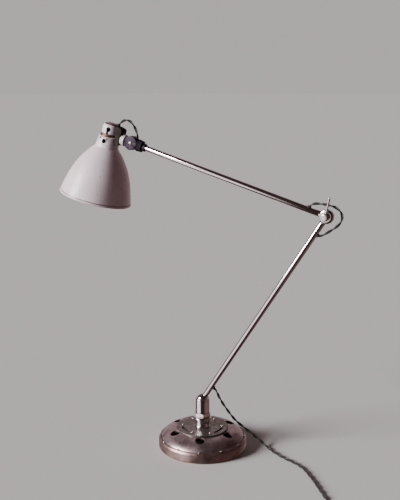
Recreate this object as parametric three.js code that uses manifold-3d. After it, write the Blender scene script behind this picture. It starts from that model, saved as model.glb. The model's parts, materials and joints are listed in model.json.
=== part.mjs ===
// Architect desk lamp: a weighted round base, a ball-jointed post, two tube arms and a tilting enamel shade.
// Millimetres, +Z up. The origin is the centre of the base's underside. The arms lie in the XZ plane:
// the elbow is towards +X and the shade towards -X, and every arm hinge turns about Y.
import * as THREE from "three";
import { mergeVertices } from "three/addons/utils/BufferGeometryUtils.js";
import Module from "manifold-3d";

const wasm = await Module();
wasm.setup();

const rad = THREE.MathUtils.degToRad;

// ---- Driving dimensions ----
const GAP = 0.3; // clearance between pieces that touch
const BROAD = 44; // sides of the base and the shade
const ROUND = 32; // sides of a middling round piece
const FINE = 16; // sides of a small round piece

const BASE_DIAMETER = 200;
const SKIRT_HEIGHT = 25;
const SKIRT_WALL = 5;
const SKIRT_LEDGE = 7; // inward ledge that carries the dome
const SKIRT_SHOULDER = 5.4; // height of the sloping edge above the skirt's wall
const PAD_THICKNESS = 2;
const WEIGHT_THICKNESS = 12;
const DOME_TOP = 44;
const DOME_THICKNESS = 4;
const RIM_TO_PLATE = 41.5; // from the base's rim to the top plate's rim
const PLATE_THICKNESS = 2.7;
const VENT_COUNT = 6;
const VENT_DIAMETER = 22;
const VENT_START = -70; // degrees from +X
const SLOT_COUNT = 3;
const SLOT_WIDTH = 6;
const SLOT_INSET = 13.5; // from the plate's rim to the slots' centre line
const SLOT_HALF_ANGLE = 20;
const SCREW_HALF_ANGLE = 33; // plate screws, either side of each slot's middle

const FLANGE_OVERHANG = 3.2; // flange beyond the post
const FOOT_HEIGHT = 17;
const FLANGE_THICKNESS = 6.5;
const NUT_HEIGHT = 10.5;
const BARREL_HEIGHT = 28;
const SOCKET_WALL = 2.75;
const SOCKET_CAP_HEIGHT = 5;
const BALL_DIAMETER = 27;
const BALL_SINK = 1.8; // ball centre above the socket barrel's top
const SPINDLE_DIAMETER = 10;

const TUBE_DIAMETER = 12.7;
const TUBE_WALL = 1.2;
const LOWER_ARM = 519.3; // ball centre to elbow
const UPPER_ARM = 467.1; // elbow to tilt pivot
const LEAN = 32.1; // lower arm from vertical, degrees
const ELBOW_BEND = 105.7; // between the two arms' directions, degrees
const CORD_DIAMETER = 6;
const TAIL_EXIT = 41; // tail cord's hole, from the ball centre
const ELBOW_EXIT_LOWER = 44; // elbow cord's holes, from the elbow
const ELBOW_EXIT_UPPER = 41;
const GROMMET_REACH = 2; // grommet beyond the tube's surface

const EYE_RADIUS = 15;
const EYE_FACE = 0.7; // half the space between the two eyes
const BOLT_DIAMETER = 8;
const WASHER_THICKNESS = 1.1;
const HUB_DIAMETER = 15.4;
const HUB_LENGTH = 8;
const LEVER_DIAMETER = 4;
const LEVER_REACH = 42; // from the bolt's axis to the lever's tip
const LEVER_LEAN = 11; // from vertical, degrees

const FORK_RADIUS = 15.5;
const FORK_HALF_WIDTH = 9.6;
const TONGUE_HALF_WIDTH = 2.9;
const BRIDGE = 2.2; // thickness of the fork's bridge
const COLLAR_RADIUS = 13.6;
const COLLAR_LENGTH = 12.5;
const SWIVEL = 3.1; // head turned about the upper arm, degrees
const SHADE_LEAN = 14.5; // shade's axis from vertical before the swivel, degrees
const TILT_SCREW_DIAMETER = 5;

const SHADE_DIAMETER = 166;
const SHADE_OFFSET = 59; // tilt pivot to the shade's axis
const SHADE_WALL = 1.6;
const NECK_TOP = 4; // heights are along the shade's axis, from the tilt pivot
const NECK_HEIGHT = 31;
const NECK_TOP_RADIUS = 22;
const NECK_BOTTOM_RADIUS = 26.6;
const BELL_HEIGHT = 119;
const RIM_BEAD = 3;
const CAP_RADIUS = 19.3;
const CAP_HEIGHT = 24;
const KEYHOLE_DIAMETER = 10.4;
const KEYHOLE_AZIMUTH = -78;
const SEAM_DROP = 6.6; // how much lower the neck's lip is at the front than at the back
const NECK_HOLE_DIAMETER = 10;
const NECK_HOLE_AZIMUTH = -85;
const FERRULE_RADIUS = 13;
const FERRULE_LENGTH = 9.5;
const HOLDER_RADIUS = 14.5;
const BULB_RADIUS = 30;
const BULB_CAP_RADIUS = 11;
const GLASS_WALL = 0.9;

const COIL_MEAN_RADIUS = 36;
const COIL_HEIGHT = 12.8;
const COIL_WIDTH = 20;
const COIL_CENTRE = [399, -185];
const PLUG_LENGTH = 38;
const PLUG_RADIUS = 14;

// ---- Sizes worked out from them ----
const baseRadius = BASE_DIAMETER / 2;
const plateRadius = baseRadius - RIM_TO_PLATE;
const domeRadius = baseRadius - SKIRT_WALL - 0.8;
const ventCircle = plateRadius + VENT_DIAMETER / 2 - 1.5;
const slotCircle = plateRadius - SLOT_INSET;
const plateBottom = DOME_TOP + GAP;
const plateTop = plateBottom + PLATE_THICKNESS;
const ballRadius = BALL_DIAMETER / 2;
const barrelRadius = ballRadius + SOCKET_WALL;
const flangeRadius = barrelRadius + FLANGE_OVERHANG;
const footBottom = plateTop + GAP;
const footTop = footBottom + FOOT_HEIGHT + FLANGE_THICKNESS;
const nutBottom = footTop + GAP;
const barrelBottom = nutBottom + NUT_HEIGHT + GAP;
const barrelTop = barrelBottom + BARREL_HEIGHT;
const barrelFloor = barrelBottom + 5;
const ballHeight = barrelTop + BALL_SINK;
const spindleRadius = SPINDLE_DIAMETER / 2;
const spindleBore = spindleRadius + GAP;
const spindleHead = spindleRadius + 2.2;
const tubeRadius = TUBE_DIAMETER / 2;
const tubeBore = tubeRadius - TUBE_WALL;
const plugRadius = tubeBore - GAP; // a fitting's plug inside a tube
const cordRadius = CORD_DIAMETER / 2;
const grommetRadius = cordRadius + 1.5;
const boltRadius = BOLT_DIAMETER / 2;
const boltBore = boltRadius + GAP;
const eyeOuter = Math.max(tubeRadius, EYE_FACE + 4);
const washerInner = eyeOuter + GAP;
const hubInner = washerInner + WASHER_THICKNESS + GAP;
const hubRadius = HUB_DIAMETER / 2;
const tubeStart = Math.sqrt(ballRadius ** 2 - tubeRadius ** 2) + GAP;
const eyeNeck = EYE_RADIUS + 1.5; // pivot to the tube's end at the elbow
const collarStart = FORK_RADIUS + GAP;
const collarEnd = collarStart + COLLAR_LENGTH;
const forkInner = TONGUE_HALF_WIDTH + GAP;
const sleeveSetback = FORK_RADIUS - BRIDGE - TONGUE_HALF_WIDTH - 3 * GAP; // behind the tilt pivot
const upperTubeEnd = UPPER_ARM - collarStart - 3;
const shadeRadius = SHADE_DIAMETER / 2;
const neckBottom = NECK_TOP - NECK_HEIGHT;
const mouth = neckBottom - BELL_HEIGHT;
const capTop = NECK_TOP + CAP_HEIGHT;
const ferruleFace = FORK_RADIUS + 0.5; // pivot to the ferrule's near face

// ---- Materials ----
const finish = (color, roughness, metalness) =>
  new THREE.MeshStandardMaterial({ color, roughness, metalness });
const castIron = finish(0x6d5f5c, 0.45, 0.85);
const darkIron = finish(0x35302e, 0.7, 0.6);
const steel = finish(0x9a9692, 0.35, 0.95);
const chrome = finish(0xd8d4d2, 0.12, 1);
const enamel = finish(0xe3dad8, 0.3, 0);
const bronze = finish(0x6b4a34, 0.5, 0.8);
const gunmetal = finish(0x4a4350, 0.4, 0.85);
const blackPlastic = finish(0x17171a, 0.5, 0);
const cork = finish(0x7a5c3e, 0.95, 0);
const glass = finish(0xf4f1e8, 0.1, 0);
const flex = finish(0x141414, 0.8, 0);

// ---- Shape helpers ----
// A solid of revolution about Z from [radius, height] points, in either order.
function turned(profile, sides = ROUND) {
  const loop = profile.map(([radius, height]) => new THREE.Vector2(radius, height));
  if (THREE.ShapeUtils.area(loop) < 0) loop.reverse();
  const open = loop[0].x === 0 && loop[loop.length - 1].x === 0;
  if (!open) loop.push(loop[0].clone());
  return new THREE.LatheGeometry(loop, sides).rotateX(Math.PI / 2);
}

const rod = (radius, low, high, sides = FINE) =>
  turned([[0, low], [radius, low], [radius, high], [0, high]], sides);

const ring = (inner, outer, low, high, sides = ROUND) =>
  turned([[inner, low], [outer, low], [outer, high], [inner, high]], sides);

const block = (x, y, z) =>
  new THREE.BoxGeometry(x[1] - x[0], y[1] - y[0], z[1] - z[0]).translate(
    (x[0] + x[1]) / 2,
    (y[0] + y[1]) / 2,
    (z[0] + z[1]) / 2,
  );

// Turns a piece made along Z so that it lies along +Y or +X.
const alongY = (geometry) => geometry.rotateX(-Math.PI / 2);
const alongX = (geometry) => geometry.rotateY(Math.PI / 2);

function solid(geometry) {
  const bare = geometry.index ? geometry.toNonIndexed() : geometry;
  const shape = new THREE.BufferGeometry().setAttribute("position", bare.getAttribute("position"));
  const merged = mergeVertices(shape, 1e-3);
  const vertProperties = merged.attributes.position.array;
  const triVerts = new Uint32Array(merged.index.array);
  return new wasm.Manifold(new wasm.Mesh({ numProp: 3, vertProperties, triVerts }));
}

function geometryOf(made) {
  const { vertProperties, triVerts } = made.getMesh();
  const geometry = new THREE.BufferGeometry();
  geometry.setAttribute("position", new THREE.BufferAttribute(vertProperties, 3));
  geometry.setIndex(new THREE.BufferAttribute(triVerts, 1));
  const flat = geometry.toNonIndexed();
  flat.computeVertexNormals();
  return flat;
}

const cut = (geometry, ...tools) =>
  geometryOf(tools.reduce((made, tool) => made.subtract(solid(tool)), solid(geometry)));

const join = (geometry, ...others) =>
  geometryOf(others.reduce((made, other) => made.add(solid(other)), solid(geometry)));

// A round cord along a smooth curve through the points.
function cordTube(points, steps, sides = 8) {
  const route = new THREE.CatmullRomCurve3(points.map((point) => new THREE.Vector3(...point)));
  const corners = Array.from({ length: sides }, (_, k) => {
    const angle = (2 * Math.PI * (k + 0.5)) / sides;
    return new THREE.Vector2(cordRadius * Math.cos(angle), cordRadius * Math.sin(angle));
  });
  const options = { steps, bevelEnabled: false, extrudePath: route };
  return new THREE.ExtrudeGeometry(new THREE.Shape(corners), options);
}

// ---- Groups: each moves with the one it is nested in ----
const lamp = new THREE.Group();

function group(parent, position = [0, 0, 0], turn = [0, 0, 0]) {
  const made = new THREE.Group();
  made.position.set(...position);
  made.rotation.set(...turn.map(rad));
  parent.add(made);
  return made;
}

function add(parent, name, geometry, material) {
  const mesh = new THREE.Mesh(geometry, material);
  mesh.name = name;
  parent.add(mesh);
  return mesh;
}

const base = group(lamp);
const turret = group(base);
const lowerArm = group(turret, [0, 0, ballHeight], [0, LEAN, 0]);
const elbow = group(lowerArm, [0, 0, LOWER_ARM]);
const lever = group(elbow, [0, 0, 0], [0, LEVER_LEAN - LEAN, 0]);
const upperArm = group(elbow, [0, 0, 0], [0, -ELBOW_BEND, 0]);
const knuckle = group(upperArm, [0, 0, UPPER_ARM], [0, 0, SWIVEL]);
const shade = group(knuckle, [0, 0, 0], [0, ELBOW_BEND - LEAN + SHADE_LEAN, 0]);
const shadeAxis = group(shade, [-SHADE_OFFSET, 0, 0]);

// ---- Base: cast skirt and pierced dome over an iron weight ----
function makeBase() {
  const inner = baseRadius - SKIRT_WALL;
  const ledgeInner = inner - SKIRT_LEDGE;
  const ledgeTop = SKIRT_HEIGHT - DOME_THICKNESS - GAP;
  const skirtBottom = PAD_THICKNESS + GAP;
  const skirt = [
    [inner, skirtBottom],
    [baseRadius - 1.5, skirtBottom],
    [baseRadius, skirtBottom + 1.5],
    [baseRadius, SKIRT_HEIGHT - SKIRT_SHOULDER],
    [baseRadius - 0.35 * SKIRT_SHOULDER, SKIRT_HEIGHT - 0.3 * SKIRT_SHOULDER],
    [baseRadius - 0.75 * SKIRT_SHOULDER, SKIRT_HEIGHT],
    [inner, SKIRT_HEIGHT],
    [inner, ledgeTop],
    [ledgeInner, ledgeTop],
    [ledgeInner, ledgeTop - 3],
    [inner - 1, ledgeTop - 6],
  ];
  add(base, "base_skirt", turned(skirt, BROAD), castIron);

  // The dome rises from its edge in one convex curve to the flat seat under the top plate.
  const edge = new THREE.Vector2(domeRadius, SKIRT_HEIGHT);
  const seat = new THREE.Vector2(plateRadius - 2, DOME_TOP);
  const crown = new THREE.Vector2(domeRadius - 0.3 * (domeRadius - seat.x), DOME_TOP - 2);
  const slope = new THREE.QuadraticBezierCurve(edge, crown, seat).getPoints(5);
  const dome = [
    [spindleBore, DOME_TOP - DOME_THICKNESS],
    [seat.x, DOME_TOP - DOME_THICKNESS],
    ...slope.slice(1, -1).reverse().map((p) => [p.x - 2, p.y - DOME_THICKNESS]),
    [domeRadius - 3, SKIRT_HEIGHT - DOME_THICKNESS],
    [domeRadius, SKIRT_HEIGHT - DOME_THICKNESS],
    ...slope.map((p) => [p.x, p.y]),
    [spindleBore, DOME_TOP],
  ];
  const vents = Array.from({ length: VENT_COUNT }, (_, k) => {
    const angle = rad(VENT_START + (360 / VENT_COUNT) * k);
    const vent = rod(VENT_DIAMETER / 2, SKIRT_HEIGHT - 10, DOME_TOP + 5);
    return vent.translate(ventCircle * Math.cos(angle), ventCircle * Math.sin(angle), 0);
  });
  add(base, "base_dome", cut(turned(dome, BROAD), ...vents), castIron);

  const weightBottom = PAD_THICKNESS + GAP;
  const weight = ring(spindleRadius + 12, inner - 3, weightBottom, weightBottom + WEIGHT_THICKNESS);
  add(base, "base_weight", weight, darkIron);
  add(base, "base_pad", rod(baseRadius - 3, 0, PAD_THICKNESS, BROAD), cork);
}

// ---- Top plate with three kidney slots, each between two screws ----
function makeTopPlate() {
  const slots = [];
  const screwBores = [];
  for (let k = 0; k < SLOT_COUNT; k++) {
    const middle = VENT_START - 60 + (360 / SLOT_COUNT) * k;
    const kidney = new THREE.Shape();
    const from = rad(middle - SLOT_HALF_ANGLE);
    const to = rad(middle + SLOT_HALF_ANGLE);
    kidney.absarc(0, 0, slotCircle + SLOT_WIDTH / 2, from, to, false);
    kidney.absarc(0, 0, slotCircle - SLOT_WIDTH / 2, to, from, true);
    const options = { depth: PLATE_THICKNESS + 2, bevelEnabled: false, curveSegments: 8 };
    slots.push(new THREE.ExtrudeGeometry(kidney, options).translate(0, 0, plateBottom - 1));
    for (const side of [-1, 1]) {
      const angle = rad(middle + side * SCREW_HALF_ANGLE);
      const x = slotCircle * Math.cos(angle);
      const y = slotCircle * Math.sin(angle);
      const shank = [[0, plateBottom + GAP], [1.5, plateBottom + GAP], [1.5, plateTop + GAP]];
      const head = [[3, plateTop + GAP], [2.6, plateTop + 1.5], [1.4, plateTop + 2.1], [0, plateTop + 2.2]];
      const screw = turned([...shank, ...head], 12).translate(x, y, 0);
      add(base, `plate_screw_${screwBores.length + 1}`, screw, steel);
      screwBores.push(rod(1.5 + GAP, plateBottom - 1, plateTop + 1, 12).translate(x, y, 0));
    }
  }
  const plate = [
    [spindleBore, plateBottom],
    [plateRadius, plateBottom],
    [plateRadius, plateTop - 0.8],
    [plateRadius - 0.8, plateTop],
    [spindleBore, plateTop],
  ];
  add(base, "top_plate", cut(turned(plate, BROAD), ...slots, ...screwBores), castIron);
}

// ---- Post: foot with flange, lock nut, and the spindle that the turret turns on ----
function makePost() {
  const flangeBottom = footTop - FLANGE_THICKNESS;
  const foot = [
    [spindleBore, footBottom],
    [barrelRadius + 1, footBottom],
    [barrelRadius + 1, footBottom + 2.5],
    [barrelRadius, footBottom + 3.5],
    [barrelRadius, footBottom + 8],
    [barrelRadius - 0.9, footBottom + 8.7],
    [barrelRadius - 0.9, footBottom + 10],
    [barrelRadius, footBottom + 10.7],
    [barrelRadius - 0.5, flangeBottom],
    [flangeRadius - 1.2, flangeBottom],
    [flangeRadius, flangeBottom + 1.4],
    [flangeRadius, footTop - 2.8],
    [flangeRadius - 1.6, footTop - 1.2],
    [barrelRadius + 0.6, footTop],
    [spindleBore, footTop],
  ];
  add(base, "post_foot", turned(foot), chrome);

  const nut = rod((barrelRadius + 0.4) / Math.cos(Math.PI / 6), nutBottom, nutBottom + NUT_HEIGHT, 6);
  const nutBore = rod(spindleBore, nutBottom - 1, nutBottom + NUT_HEIGHT + 1);
  add(base, "lock_nut", cut(nut, nutBore), chrome);

  const headTop = DOME_TOP - DOME_THICKNESS - GAP;
  const collarBottom = barrelFloor + GAP;
  const spindle = [
    [0, headTop - 5],
    [spindleRadius + 4, headTop - 5],
    [spindleRadius + 4, headTop],
    [spindleRadius, headTop],
    [spindleRadius, collarBottom],
    [spindleHead, collarBottom],
    [spindleHead, collarBottom + 3],
    [0, collarBottom + 3],
  ];
  add(base, "pivot_spindle", turned(spindle, FINE), steel);
}

// ---- Turret: socket barrel, its cap, and the sprung cup that grips the ball ----
function makeTurret() {
  const bore = ballRadius + 0.4;
  const barrel = [
    [spindleBore, barrelBottom],
    [barrelRadius - 0.6, barrelBottom],
    [barrelRadius, barrelBottom + 0.6],
    [barrelRadius, barrelTop],
    [bore, barrelTop],
    [bore, barrelFloor],
    [spindleBore, barrelFloor],
  ];
  add(turret, "socket_barrel", turned(barrel), chrome);

  // Both seats follow the ball at the same clearance.
  const seatRadius = ballRadius + GAP;
  const seatAt = (height) => [Math.sqrt(seatRadius ** 2 - (height - ballHeight) ** 2), height];
  const capBottom = barrelTop + GAP;
  const capEnd = capBottom + SOCKET_CAP_HEIGHT;
  const cap = [
    seatAt(capBottom),
    [barrelRadius, capBottom],
    [barrelRadius, capEnd - 1.5],
    [barrelRadius - 1.2, capEnd],
    seatAt(capEnd),
    seatAt((capBottom + capEnd) / 2),
  ];
  add(turret, "socket_cap", turned(cap), chrome);

  const cupTop = ballHeight - seatRadius / 3;
  const cupBottom = ballHeight - ballRadius - 0.5;
  const cup = [
    seatAt(ballHeight - 0.88 * seatRadius),
    [0.44 * seatRadius, cupBottom],
    [ballRadius, cupBottom],
    [ballRadius, cupTop],
    seatAt(cupTop),
    seatAt(ballHeight - 0.5 * seatRadius),
    seatAt(ballHeight - 0.7 * seatRadius),
  ];
  add(turret, "friction_cup", turned(cup), bronze);

  // Three turns of wire between the barrel's floor and the cup.
  const wire = 1.1;
  const springRadius = (spindleHead + ballRadius) / 2;
  const springLow = barrelFloor + GAP + wire;
  const springHigh = cupBottom - GAP - wire - 0.1;
  const turns = 3;
  const coilPoints = Array.from({ length: turns * 12 + 1 }, (_, k) => {
    const angle = (k / 12) * 2 * Math.PI;
    const height = springLow + ((springHigh - springLow) * k) / (turns * 12);
    return new THREE.Vector3(
      springRadius * Math.cos(angle),
      springRadius * Math.sin(angle),
      height,
    );
  });
  const section = new THREE.Shape();
  section.absarc(0, 0, wire, 0, 2 * Math.PI, false);
  const options = {
    steps: turns * 12,
    curveSegments: 3,
    bevelEnabled: false,
    extrudePath: new THREE.CatmullRomCurve3(coilPoints),
  };
  add(turret, "cup_spring", new THREE.ExtrudeGeometry(section, options), steel);
}

// ---- Arm tubes, grommets and the cord inside them ----
// A bushed hole in a tube's +X side, at a height along the tube.
const sideHole = (height) => alongX(rod(grommetRadius, 0, tubeRadius + 2)).translate(0, 0, height);

function grommet(height) {
  const inner = tubeBore - 0.2;
  const lip = tubeRadius + GAP;
  const tip = tubeRadius + GROMMET_REACH;
  const profile = [
    [cordRadius - 0.4, inner],
    [grommetRadius - GAP, inner],
    [grommetRadius - GAP, lip + 0.5],
    [grommetRadius + 0.6, lip + 0.9],
    [grommetRadius + 0.2, tip - 0.5],
    [grommetRadius - 0.6, tip],
    [cordRadius - 0.4, tip],
  ];
  return alongX(turned(profile, FINE)).translate(0, 0, height);
}

const armTube = (low, high, ...holes) => cut(ring(tubeBore, tubeRadius, low, high, 24), ...holes);
const innerCord = (low, high) => rod(cordRadius, low, high, 8);

// Half of the elbow: an eye on the +Y side of the arm's centre plane, with a neck and a plug for the tube.
// The arm comes from -Z.
function halfEye() {
  const disc = alongY(rod(EYE_RADIUS, EYE_FACE, eyeOuter, ROUND));
  const neck = rod(tubeRadius, -eyeNeck, -EYE_RADIUS * 0.5, 24);
  const plug = rod(plugRadius, -eyeNeck - 12, -eyeNeck);
  const lap = alongY(rod(EYE_RADIUS + 0.6, -tubeRadius - 1, EYE_FACE, ROUND));
  const bore = alongY(rod(boltBore, -20, 20));
  return cut(join(disc, neck, plug), lap, bore);
}

function makeLowerArm() {
  const stub = tubeStart + 12;
  const arc = Array.from({ length: 8 }, (_, k) => {
    const angle = -Math.PI / 2 + (k / 7) * (Math.PI / 2 + Math.acos(tubeRadius / ballRadius));
    return [ballRadius * Math.cos(angle), ballRadius * Math.sin(angle)];
  });
  arc[0][0] = 0;
  const ball = [...arc, [plugRadius, tubeStart - GAP], [plugRadius, stub], [0, stub]];
  add(lowerArm, "ball", turned(ball), chrome);

  const tubeEnd = LOWER_ARM - eyeNeck - GAP;
  const elbowHole = LOWER_ARM - ELBOW_EXIT_LOWER;
  const tube = armTube(tubeStart, tubeEnd, sideHole(TAIL_EXIT), sideHole(elbowHole));
  add(lowerArm, "lower_tube", tube, chrome);
  add(lowerArm, "tail_grommet", grommet(TAIL_EXIT), blackPlastic);
  add(lowerArm, "elbow_grommet_lower", grommet(elbowHole), blackPlastic);
  const cordRun = innerCord(TAIL_EXIT + grommetRadius, elbowHole - grommetRadius);
  add(lowerArm, "lower_arm_cord", cordRun, flex);

  add(elbow, "lower_eye", halfEye(), chrome);
  add(elbow, "friction_disc", alongY(ring(boltBore, EYE_RADIUS - 1, -0.4, 0.4, ROUND)), bronze);
  const backHead = hubInner + 4.6;
  const head = rod(7.4, hubInner, backHead, 6);
  const shank = rod(boltRadius, GAP - hubInner - HUB_LENGTH + 2, hubInner + 1);
  add(elbow, "elbow_bolt", alongY(join(head, shank)), steel);
  const backWasher = ring(boltBore, 10, washerInner, washerInner + WASHER_THICKNESS, 24);
  add(elbow, "back_washer", alongY(backWasher), steel);
}

// ---- Clamp lever on the elbow bolt's front end ----
function makeLever() {
  const face = hubInner + HUB_LENGTH;
  const hub = [
    [boltBore, hubInner],
    [hubRadius - 0.5, hubInner],
    [hubRadius, hubInner + 0.7],
    [hubRadius, face - 1.3],
    [hubRadius - 1.4, face],
    [0, face],
    [0, face - 1.7],
    [boltBore, face - 1.7],
  ];
  const middle = hubInner + HUB_LENGTH / 2;
  const seat = rod(LEVER_DIAMETER / 2 + GAP, hubRadius - 2.4, hubRadius + 2).translate(0, -middle, 0);
  add(lever, "lever_hub", cut(turned(hub, 24).rotateX(Math.PI / 2), seat), chrome);

  const r = LEVER_DIAMETER / 2;
  const rodStart = hubRadius - 2.4 + GAP;
  const tip = [[r, LEVER_REACH - r], [r * 0.75, LEVER_REACH - 0.7], [0, LEVER_REACH]];
  const handle = turned([[0, rodStart], [r, rodStart], ...tip], 12).translate(0, -middle, 0);
  add(lever, "lever_rod", handle, chrome);
}

function makeUpperArm() {
  add(upperArm, "upper_eye", halfEye().rotateX(Math.PI), chrome);
  const washer = ring(boltBore, 11, -washerInner - WASHER_THICKNESS, -washerInner, 24);
  add(upperArm, "front_washer", alongY(washer), steel);

  const tube = armTube(eyeNeck + GAP, upperTubeEnd, sideHole(ELBOW_EXIT_UPPER));
  add(upperArm, "upper_tube", tube, chrome);
  add(upperArm, "elbow_grommet_upper", grommet(ELBOW_EXIT_UPPER), blackPlastic);
  const cordRun = innerCord(ELBOW_EXIT_UPPER + grommetRadius, upperTubeEnd - 1);
  add(upperArm, "upper_arm_cord", cordRun, flex);

  // A pinned stop collar keeps the head's swivel on the tube.
  const stop = UPPER_ARM - collarEnd - GAP;
  const stopRing = ring(tubeRadius + GAP, tubeRadius + 2.4, stop - 7, stop, 24);
  const pinHole = alongX(rod(1.6 + GAP, 0, tubeRadius + 4)).translate(0, 0, stop - 3.5);
  add(upperArm, "stop_collar", cut(stopRing, pinHole), gunmetal);
  const pin = alongX(rod(1.6, tubeRadius + GAP, tubeRadius + 5, 12)).translate(0, 0, stop - 3.5);
  add(upperArm, "stop_screw", pin, steel);
}

// ---- Knuckle: knurled swivel collar and the fork that holds the shade's tongue ----
function makeKnuckle() {
  const collar = [
    [tubeRadius + GAP, -collarEnd],
    [COLLAR_RADIUS - 2.2, -collarEnd],
    [COLLAR_RADIUS - 1.2, 1 - collarEnd],
    [COLLAR_RADIUS, 1 - collarStart],
    [COLLAR_RADIUS - 0.8, -collarStart],
    [tubeRadius + GAP, -collarStart],
  ];
  add(knuckle, "knurled_collar", turned(collar), gunmetal);

  const cheeks = alongY(rod(FORK_RADIUS, -FORK_HALF_WIDTH, FORK_HALF_WIDTH, ROUND));
  const neck = rod(COLLAR_RADIUS - 1.5, 0.4 - FORK_RADIUS, -FORK_RADIUS * 0.5, 32);
  const slot = block([-40, 40], [-forkInner, forkInner], [BRIDGE - FORK_RADIUS, 40]);
  const bore = alongY(rod(TILT_SCREW_DIAMETER / 2 + GAP, -20, FORK_HALF_WIDTH - 1.5));
  const headSeat = alongY(rod(4.4, -20, 1.5 - FORK_HALF_WIDTH));
  add(knuckle, "knuckle_fork", cut(join(cheeks, neck), slot, bore, headSeat), gunmetal);

  // The cord enters the fork's slot behind the tongue, in a sleeve held between the cheeks.
  const sleeve = rod(TONGUE_HALF_WIDTH, FORK_RADIUS - 3.4, FORK_RADIUS + 0.1);
  add(knuckle, "cord_sleeve", alongX(sleeve).translate(0, 0, -sleeveSetback), blackPlastic);

  const headLow = -FORK_HALF_WIDTH - 1.2;
  const r = TILT_SCREW_DIAMETER / 2;
  const screw = [
    [0, headLow],
    [3.2, headLow],
    [3.9, headLow + 0.8],
    [3.9, 1.2 - FORK_HALF_WIDTH],
    [r, 1.2 - FORK_HALF_WIDTH],
    [r, FORK_HALF_WIDTH - 1.8],
    [0, FORK_HALF_WIDTH - 1.8],
  ];
  add(knuckle, "tilt_screw", alongY(turned(screw, FINE)), steel);
}

// ---- Shade ----
// The bell's outer line, from the neck's crease to the rim.
const bellLine = new THREE.CubicBezierCurve(
  new THREE.Vector2(NECK_BOTTOM_RADIUS, neckBottom),
  new THREE.Vector2(0.69 * shadeRadius, neckBottom - 0.26 * BELL_HEIGHT),
  new THREE.Vector2(0.87 * shadeRadius, neckBottom - 0.57 * BELL_HEIGHT),
  new THREE.Vector2(shadeRadius - RIM_BEAD / 2, mouth + RIM_BEAD),
);

const neckRadiusAt = (height) =>
  NECK_TOP_RADIUS + ((NECK_TOP_RADIUS - NECK_BOTTOM_RADIUS) * (height - NECK_TOP)) / NECK_HEIGHT;

function makeShadeShell() {
  const outer = bellLine.getPoints(9).map((p) => [p.x, p.y]);
  const outside = [
    [NECK_TOP_RADIUS + 1.4, NECK_TOP],
    [NECK_TOP_RADIUS + 1.4, NECK_TOP - 1],
    [neckRadiusAt(NECK_TOP - 2.5), NECK_TOP - 2.5],
    ...outer,
    [shadeRadius, mouth + RIM_BEAD * 0.7],
    [shadeRadius, mouth + RIM_BEAD * 0.3],
    [shadeRadius - 0.8, mouth],
  ];
  const inside = [
    ...outer.slice().reverse().map(([r, z]) => [r - SHADE_WALL, z]),
    [NECK_TOP_RADIUS - SHADE_WALL, NECK_TOP - 2.5],
    [NECK_TOP_RADIUS - SHADE_WALL, NECK_TOP],
  ];
  inside.unshift([shadeRadius - RIM_BEAD, mouth]);
  const shell = turned([...outside, ...inside], BROAD);
  const points = shell.attributes.position;
  for (let i = 0; i < points.count; i++) {
    if (points.getZ(i) < NECK_TOP - 3) continue;
    const towardsBack = points.getY(i) / Math.hypot(points.getX(i), points.getY(i));
    points.setZ(i, points.getZ(i) - (SEAM_DROP / 2) * (1 - towardsBack));
  }
  const holeHeight = NECK_TOP - NECK_HEIGHT / 2 - 0.5;
  const hole = alongX(rod(NECK_HOLE_DIAMETER / 2, 10, 40, 16))
    .rotateZ(rad(NECK_HOLE_AZIMUTH))
    .translate(0, 0, holeHeight);
  add(shadeAxis, "shade_shell", cut(shell, hole), enamel);
}

function makeShadeCap() {
  const bottom = NECK_TOP + GAP;
  const wall = SHADE_WALL;
  const cap = [
    [CAP_RADIUS - wall, bottom],
    [CAP_RADIUS, bottom],
    [CAP_RADIUS - 0.4, capTop - 4],
    [CAP_RADIUS - 1.5, capTop - 1.4],
    [CAP_RADIUS - 4, capTop],
    [0, capTop],
    [0, capTop - wall],
    [CAP_RADIUS - 4 - wall / 2, capTop - wall],
    [CAP_RADIUS - wall - 0.6, capTop - 4],
  ];
  // The keyhole's slot runs down to the cap's edge.
  const keyhole = KEYHOLE_DIAMETER / 2;
  const keyHeight = capTop - 13.5;
  const eye = alongX(rod(keyhole, 8, 30, 16))
    .rotateZ(rad(KEYHOLE_AZIMUTH))
    .translate(0, 0, keyHeight);
  const slot = block([8, 30], [-2.1, 2.1], [bottom - 1, keyHeight]).rotateZ(rad(KEYHOLE_AZIMUTH - 4));
  const capScrew = [[0, capTop + GAP], [2.6, capTop + GAP], [2.2, capTop + 1.4], [0, capTop + 1.8]];
  // The cord comes in through the cap's rounded shoulder, square to it.
  const onShoulder = (geometry) =>
    geometry.rotateY(rad(29)).translate(CAP_RADIUS - 2.75, 0, capTop - 0.7);
  const glandBore = onShoulder(rod(cordRadius + 0.9, -6, 6));
  add(shadeAxis, "shade_cap", cut(turned(cap), eye, slot, glandBore), enamel);
  add(shadeAxis, "cap_screw_1", turned(capScrew, 12).translate(4, -7.5, 0), steel);
  add(shadeAxis, "cap_screw_2", turned(capScrew, 12).translate(-8.5, 1, 0), steel);

  const gland = [
    [cordRadius - 0.4, -3],
    [cordRadius + 0.9 - GAP, -3],
    [cordRadius + 0.9 - GAP, GAP],
    [cordRadius + 1.8, GAP],
    [cordRadius + 1.8, 1],
    [cordRadius + 0.9, 1.8],
    [cordRadius - 0.4, 1.8],
  ];
  add(shadeAxis, "cord_gland", onShoulder(turned(gland, FINE)), blackPlastic);
}

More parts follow.
